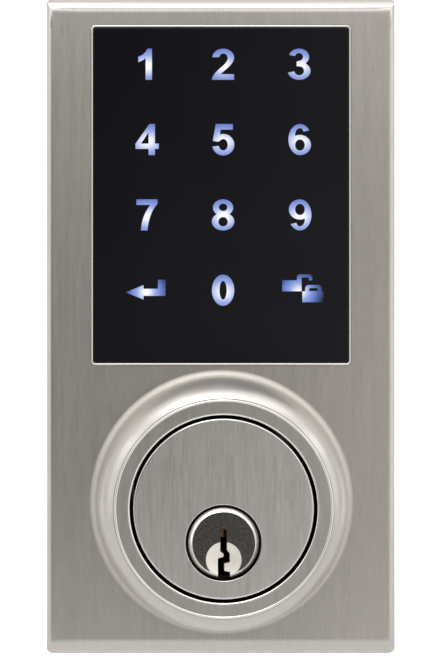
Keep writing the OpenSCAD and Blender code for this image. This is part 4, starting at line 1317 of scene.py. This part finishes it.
@dataclass
class Thumbturn:
    """The handle on the inside: a round collar with a crowned paddle, and a shank to the hub."""

    axis_z: float = -6.2 * MM
    collar_y: float = 78.9 * MM
    collar_r: float = 15.5 * MM
    collar_t: float = 3.2 * MM
    boss_r: float = 9.0 * MM
    boss_y: float = 75.5 * MM
    half_w: float = 4.5 * MM
    sunk: float = 2.8 * MM
    waist: float = 7.0 * MM
    crown: tuple[float, float] = (12.4 * MM, 19.0 * MM)
    pinch: float = 1.4 * MM
    shank: float = 3.0 * MM

    def plan(self, half_w: float, half_l: float, radius: float, y: float) -> np.ndarray:
        """Round-cornered rectangle about the axis at a depth."""
        even = np.arange(1, 7) / 7
        corner = quarter_arc(half_w, half_l, radius, 12)
        return placed(closed_loop(corner, even, even), y, (0.0, self.axis_z))

    def collar(self, skin: Skin) -> None:
        """Carries the collar's outline round the axis, with a quarter circle of 0.8 mm at its outer edge."""
        ease = 0.8 * MM
        t = np.linspace(0, math.pi / 2, 9)
        top = self.collar_y + self.collar_t
        edge = np.column_stack([self.collar_r - ease + ease * np.cos(t), top - ease + ease * np.sin(t)])
        low = [
            [self.boss_r, self.boss_y], [self.boss_r, self.collar_y],
            [self.collar_r - 0.3 * MM, self.collar_y], [self.collar_r, self.collar_y + 0.3 * MM],
        ]
        profile = np.vstack([low, edge, [[self.collar_r - ease - 0.1 * MM, top]]])
        rows = [ring(r, y, self.axis_z, 20) for r, y in profile]
        skin.loft(rows).lid(rows[0]).lid(rows[-1])

    def paddle(self, skin: Skin) -> None:
        """Stacks plans of the paddle along a superellipse.

        At an angle t the plan stands a sin(t) over the waist, or the waist's height less g |sin t| under it,
        and its half length is b cos(t)^0.8. Towards the crown the half width shrinks by w (1 - cos(t)^0.5).
        """
        a, b = self.crown
        under = np.linspace(-0.80, 0.0, 9)[:-1]
        over = np.linspace(0.0, math.pi / 2 - 0.03, 29)
        t = np.concatenate([under, over])
        rise = np.where(t < 0, (self.waist - self.sunk) / math.sin(0.80), a)
        heights = self.waist + rise * np.sin(t)
        lengths = b * np.cos(t) ** 0.8
        widths = self.half_w - np.where(t > 0, self.pinch * (1 - np.cos(t) ** 0.5), 0.0)
        rows = [self.plan(w, half, min(w, half) * 0.97, self.collar_y + height)
                for height, half, w in zip(heights, lengths, widths)]
        skin.loft(rows).plate(rows[0]).plate(rows[-1])

    def build(self) -> bpy.types.Object:
        """Makes the collar, the paddle and the square shank as one piece of three closed shells."""
        skin = Skin()
        self.collar(skin)
        self.paddle(skin)
        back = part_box("thumbturn")[0].y
        square = [self.plan(self.shank, self.shank, 0.3 * MM, y) for y in (back, self.boss_y + 0.5 * MM)]
        skin.loft(square).plate(square[0]).plate(square[1])
        return skin.build("thumbturn_handle", 38.0)


@dataclass
class InsideUnit(SubAssembly):
    """The housing on the inside of the door, with its covers, button, lens and thumbturn."""

    def build(self) -> None:
        """Makes the thumbturn and eases the housing's other pieces."""
        self.ease(self.soft, GREY, "grey_plastic", "chassis")
        self.ease(self.soft, PAINT, "satin_paint", "inside_cover", "battery_door")
        settle(Thumbturn().build(), NICKEL_SMOOTH, "drive", "satin_nickel", "thumbturn")
        self.ease(self.soft, BLACK, "black_plastic", "program_button")
        self.ease(self.light, DIFFUSER, "clear_diffuser", "status_lens")
        self.ease(self.fine, ZINC, "zinc_steel", "cover_screws", "chassis_screws")


# ---------------------------------------------------------------- studio


@dataclass
class Studio:
    """Camera, soft surroundings and a pale floor."""

    face_y: float = -20.0 * MM
    middle_z: float = 33.5 * MM
    distance: float = 230.0 * MM
    aside: float = -11.0 * MM
    span: float = 126.1 * MM
    aim: Range = (0.4777 * MM, -0.8025 * MM)
    card: tuple[float, float, float] = (0.80, -0.44, 0.285)
    card_least: float = 0.14
    strips: tuple[Range, ...] = (
        (0.30, 0.58), (0.41, 0.90), (0.50, 0.88), (0.57, 0.50), (0.64, 0.50), (0.76, 0.88), (0.88, 0.88),
        (1.0, 0.66),
    )
    lens_way: tuple[float, float, float] = (0.0425, -0.983, -0.178)
    lens_light: float = 0.045
    backdrop: float = 0.97
    floor_drop: float = 360.0 * MM
    floor_front: float = -0.8
    floor_reach: float = 2.5

    def camera(self) -> None:
        """A level camera square to the face, a little to the left, with a shift that frames the plate."""
        data = bpy.data.cameras.new("camera")
        data.sensor_width = 36.0
        data.lens = data.sensor_width * self.distance / self.span
        data.shift_x = (self.aim[0] - self.aside) / self.span
        data.shift_y = self.aim[1] / self.span
        data.clip_start, data.clip_end = 0.01, 20.0
        made = bpy.data.objects.new("camera", data)
        made.location = (self.aside, self.face_y - self.distance, self.middle_z)
        made.rotation_euler = Euler((math.pi / 2, 0, 0))
        bpy.context.scene.collection.objects.link(made)
        bpy.context.scene.camera = made

    def surroundings(self) -> None:
        """A white tent with a warm grey card in front of the lock, and two strips of brighter light above.

        All of it depends on the direction (X, Y, Z) alone. The card's light is level + side X + rise Z, and
        never under card_least. A dark spot stands for the lens. The camera sees a constant pale backdrop.
        """
        world = bpy.data.worlds.new("white_tent")
        bpy.context.scene.world = world
        world.use_nodes = True
        t = NodeTree(world.node_tree)
        way = t.node("TexCoord").outputs["Generated"]
        x, y, z = t.node("SeparateXYZ", Vector=way).outputs
        side, rise, level = self.card
        slope = t.math("ADD", t.math("MULTIPLY", x, side), t.math("MULTIPLY", z, rise))
        card = t.math("MAXIMUM", t.math("ADD", slope, level), self.card_least)
        away = t.hypot(t.math("MULTIPLY", x, 0.9), t.math("MULTIPLY", z, 1.15))
        behind = t.math("GREATER_THAN", y, 0.0)
        around = t.spread(t.math("MAXIMUM", away, behind), 0.42, 0.92, curve="SMOOTHSTEP")
        over = t.spread(z, 0.34, 0.42, curve="SMOOTHSTEP")
        under = t.spread(t.math("MULTIPLY", z, -1.0), 0.06, 0.66, curve="SMOOTHSTEP")
        outside = t.math("MAXIMUM", t.math("MAXIMUM", around, over), under)
        strips = t.math("MULTIPLY", t.ramp(z, *((at, (grey,) * 3) for at, grey in self.strips)), 2.0)
        front = t.mix(t.math("GREATER_THAN", z, 0.0), 1.14, strips)
        back = t.math("ADD", t.math("MULTIPLY", z, 0.3), 0.75)
        tent = t.mix(outside, card, t.mix(behind, front, back))
        lens = t.spread(t.dot(way, self.lens_way), 0.986, 0.9965, curve="SMOOTHSTEP")
        seen = t.node("LightPath").outputs["Is Camera Ray"]
        tint = t.blend(t.math("MAXIMUM", outside, seen), (1.02, 0.99, 0.945), (1.0, 1.0, 1.0))
        background = t.tree.nodes["Background"]
        t.feed(background.inputs["Color"], tint)
        t.feed(background.inputs["Strength"], t.mix(seen, t.mix(lens, tent, self.lens_light), self.backdrop))

    def lamp(self, name: str, at: tuple[float, float, float], size: Range, power: float) -> None:
        """A soft box that points at the lock."""
        data = bpy.data.lights.new(name, "AREA")
        data.shape = "RECTANGLE"
        data.size, data.size_y = size
        data.energy = power
        made = bpy.data.objects.new(name, data)
        made.location = at
        toward = Vector((0, 0, self.middle_z)) - Vector(at)
        made.rotation_euler = toward.to_track_quat("-Z", "Y").to_euler()
        bpy.context.scene.collection.objects.link(made)

    def floor(self) -> None:
        """A pale sweep: level under the lock, then curved up behind it."""
        low = CAD_BOX[0].z - self.floor_drop
        t = np.linspace(0, math.pi / 2, 17)
        radius, back = 0.5, 0.9
        curve = np.column_stack([back + radius * np.sin(t), low + radius - radius * np.cos(t)])
        path = np.vstack([[self.floor_front, low], curve, [back + radius, low + self.floor_reach]])
        edge = np.column_stack([np.full(len(path), -self.floor_reach), path[:, 0], path[:, 1]])
        other = edge * [-1, 1, 1]
        made = Skin().loft([edge, other], closed=False).build("pale_sweep", 40.0)
        recipe = Recipe("pale_paper", 0.9)
        cloud = recipe.noise(3.0, 2.0)
        tone = recipe.blend(recipe.spread(cloud, 0.3, 0.7), (0.62, 0.62, 0.62), (0.65, 0.65, 0.65))
        recipe.give("Base Color", tone)
        recipe.give("Emission Color", (1.0, 1.0, 1.0))
        recipe.give("Emission Strength", recipe.spread(recipe.axis("Y"), 0.7, 1.3, (0.0, 0.9)))
        made.data.materials.append(recipe.material)

    def build(self) -> None:
        """Sets up the whole studio."""
        self.camera()
        self.surroundings()
        self.lamp("high_box", (-0.15, -0.45, 0.95), (0.7, 0.4), 1.6)
        self.floor()
        bpy.context.scene.view_settings.view_transform = "Standard"


def main() -> None:
    """Builds the studio and the lock."""
    logging.basicConfig(level=logging.INFO, format="%(name)s: %(message)s")
    Studio().build()
    for unit in (OutsideUnit(), LockCylinder(), DoorHardware(), GearTrain(), PowerAndBoard(), InsideUnit()):
        unit.build()


if __name__ == "__main__":
    main()
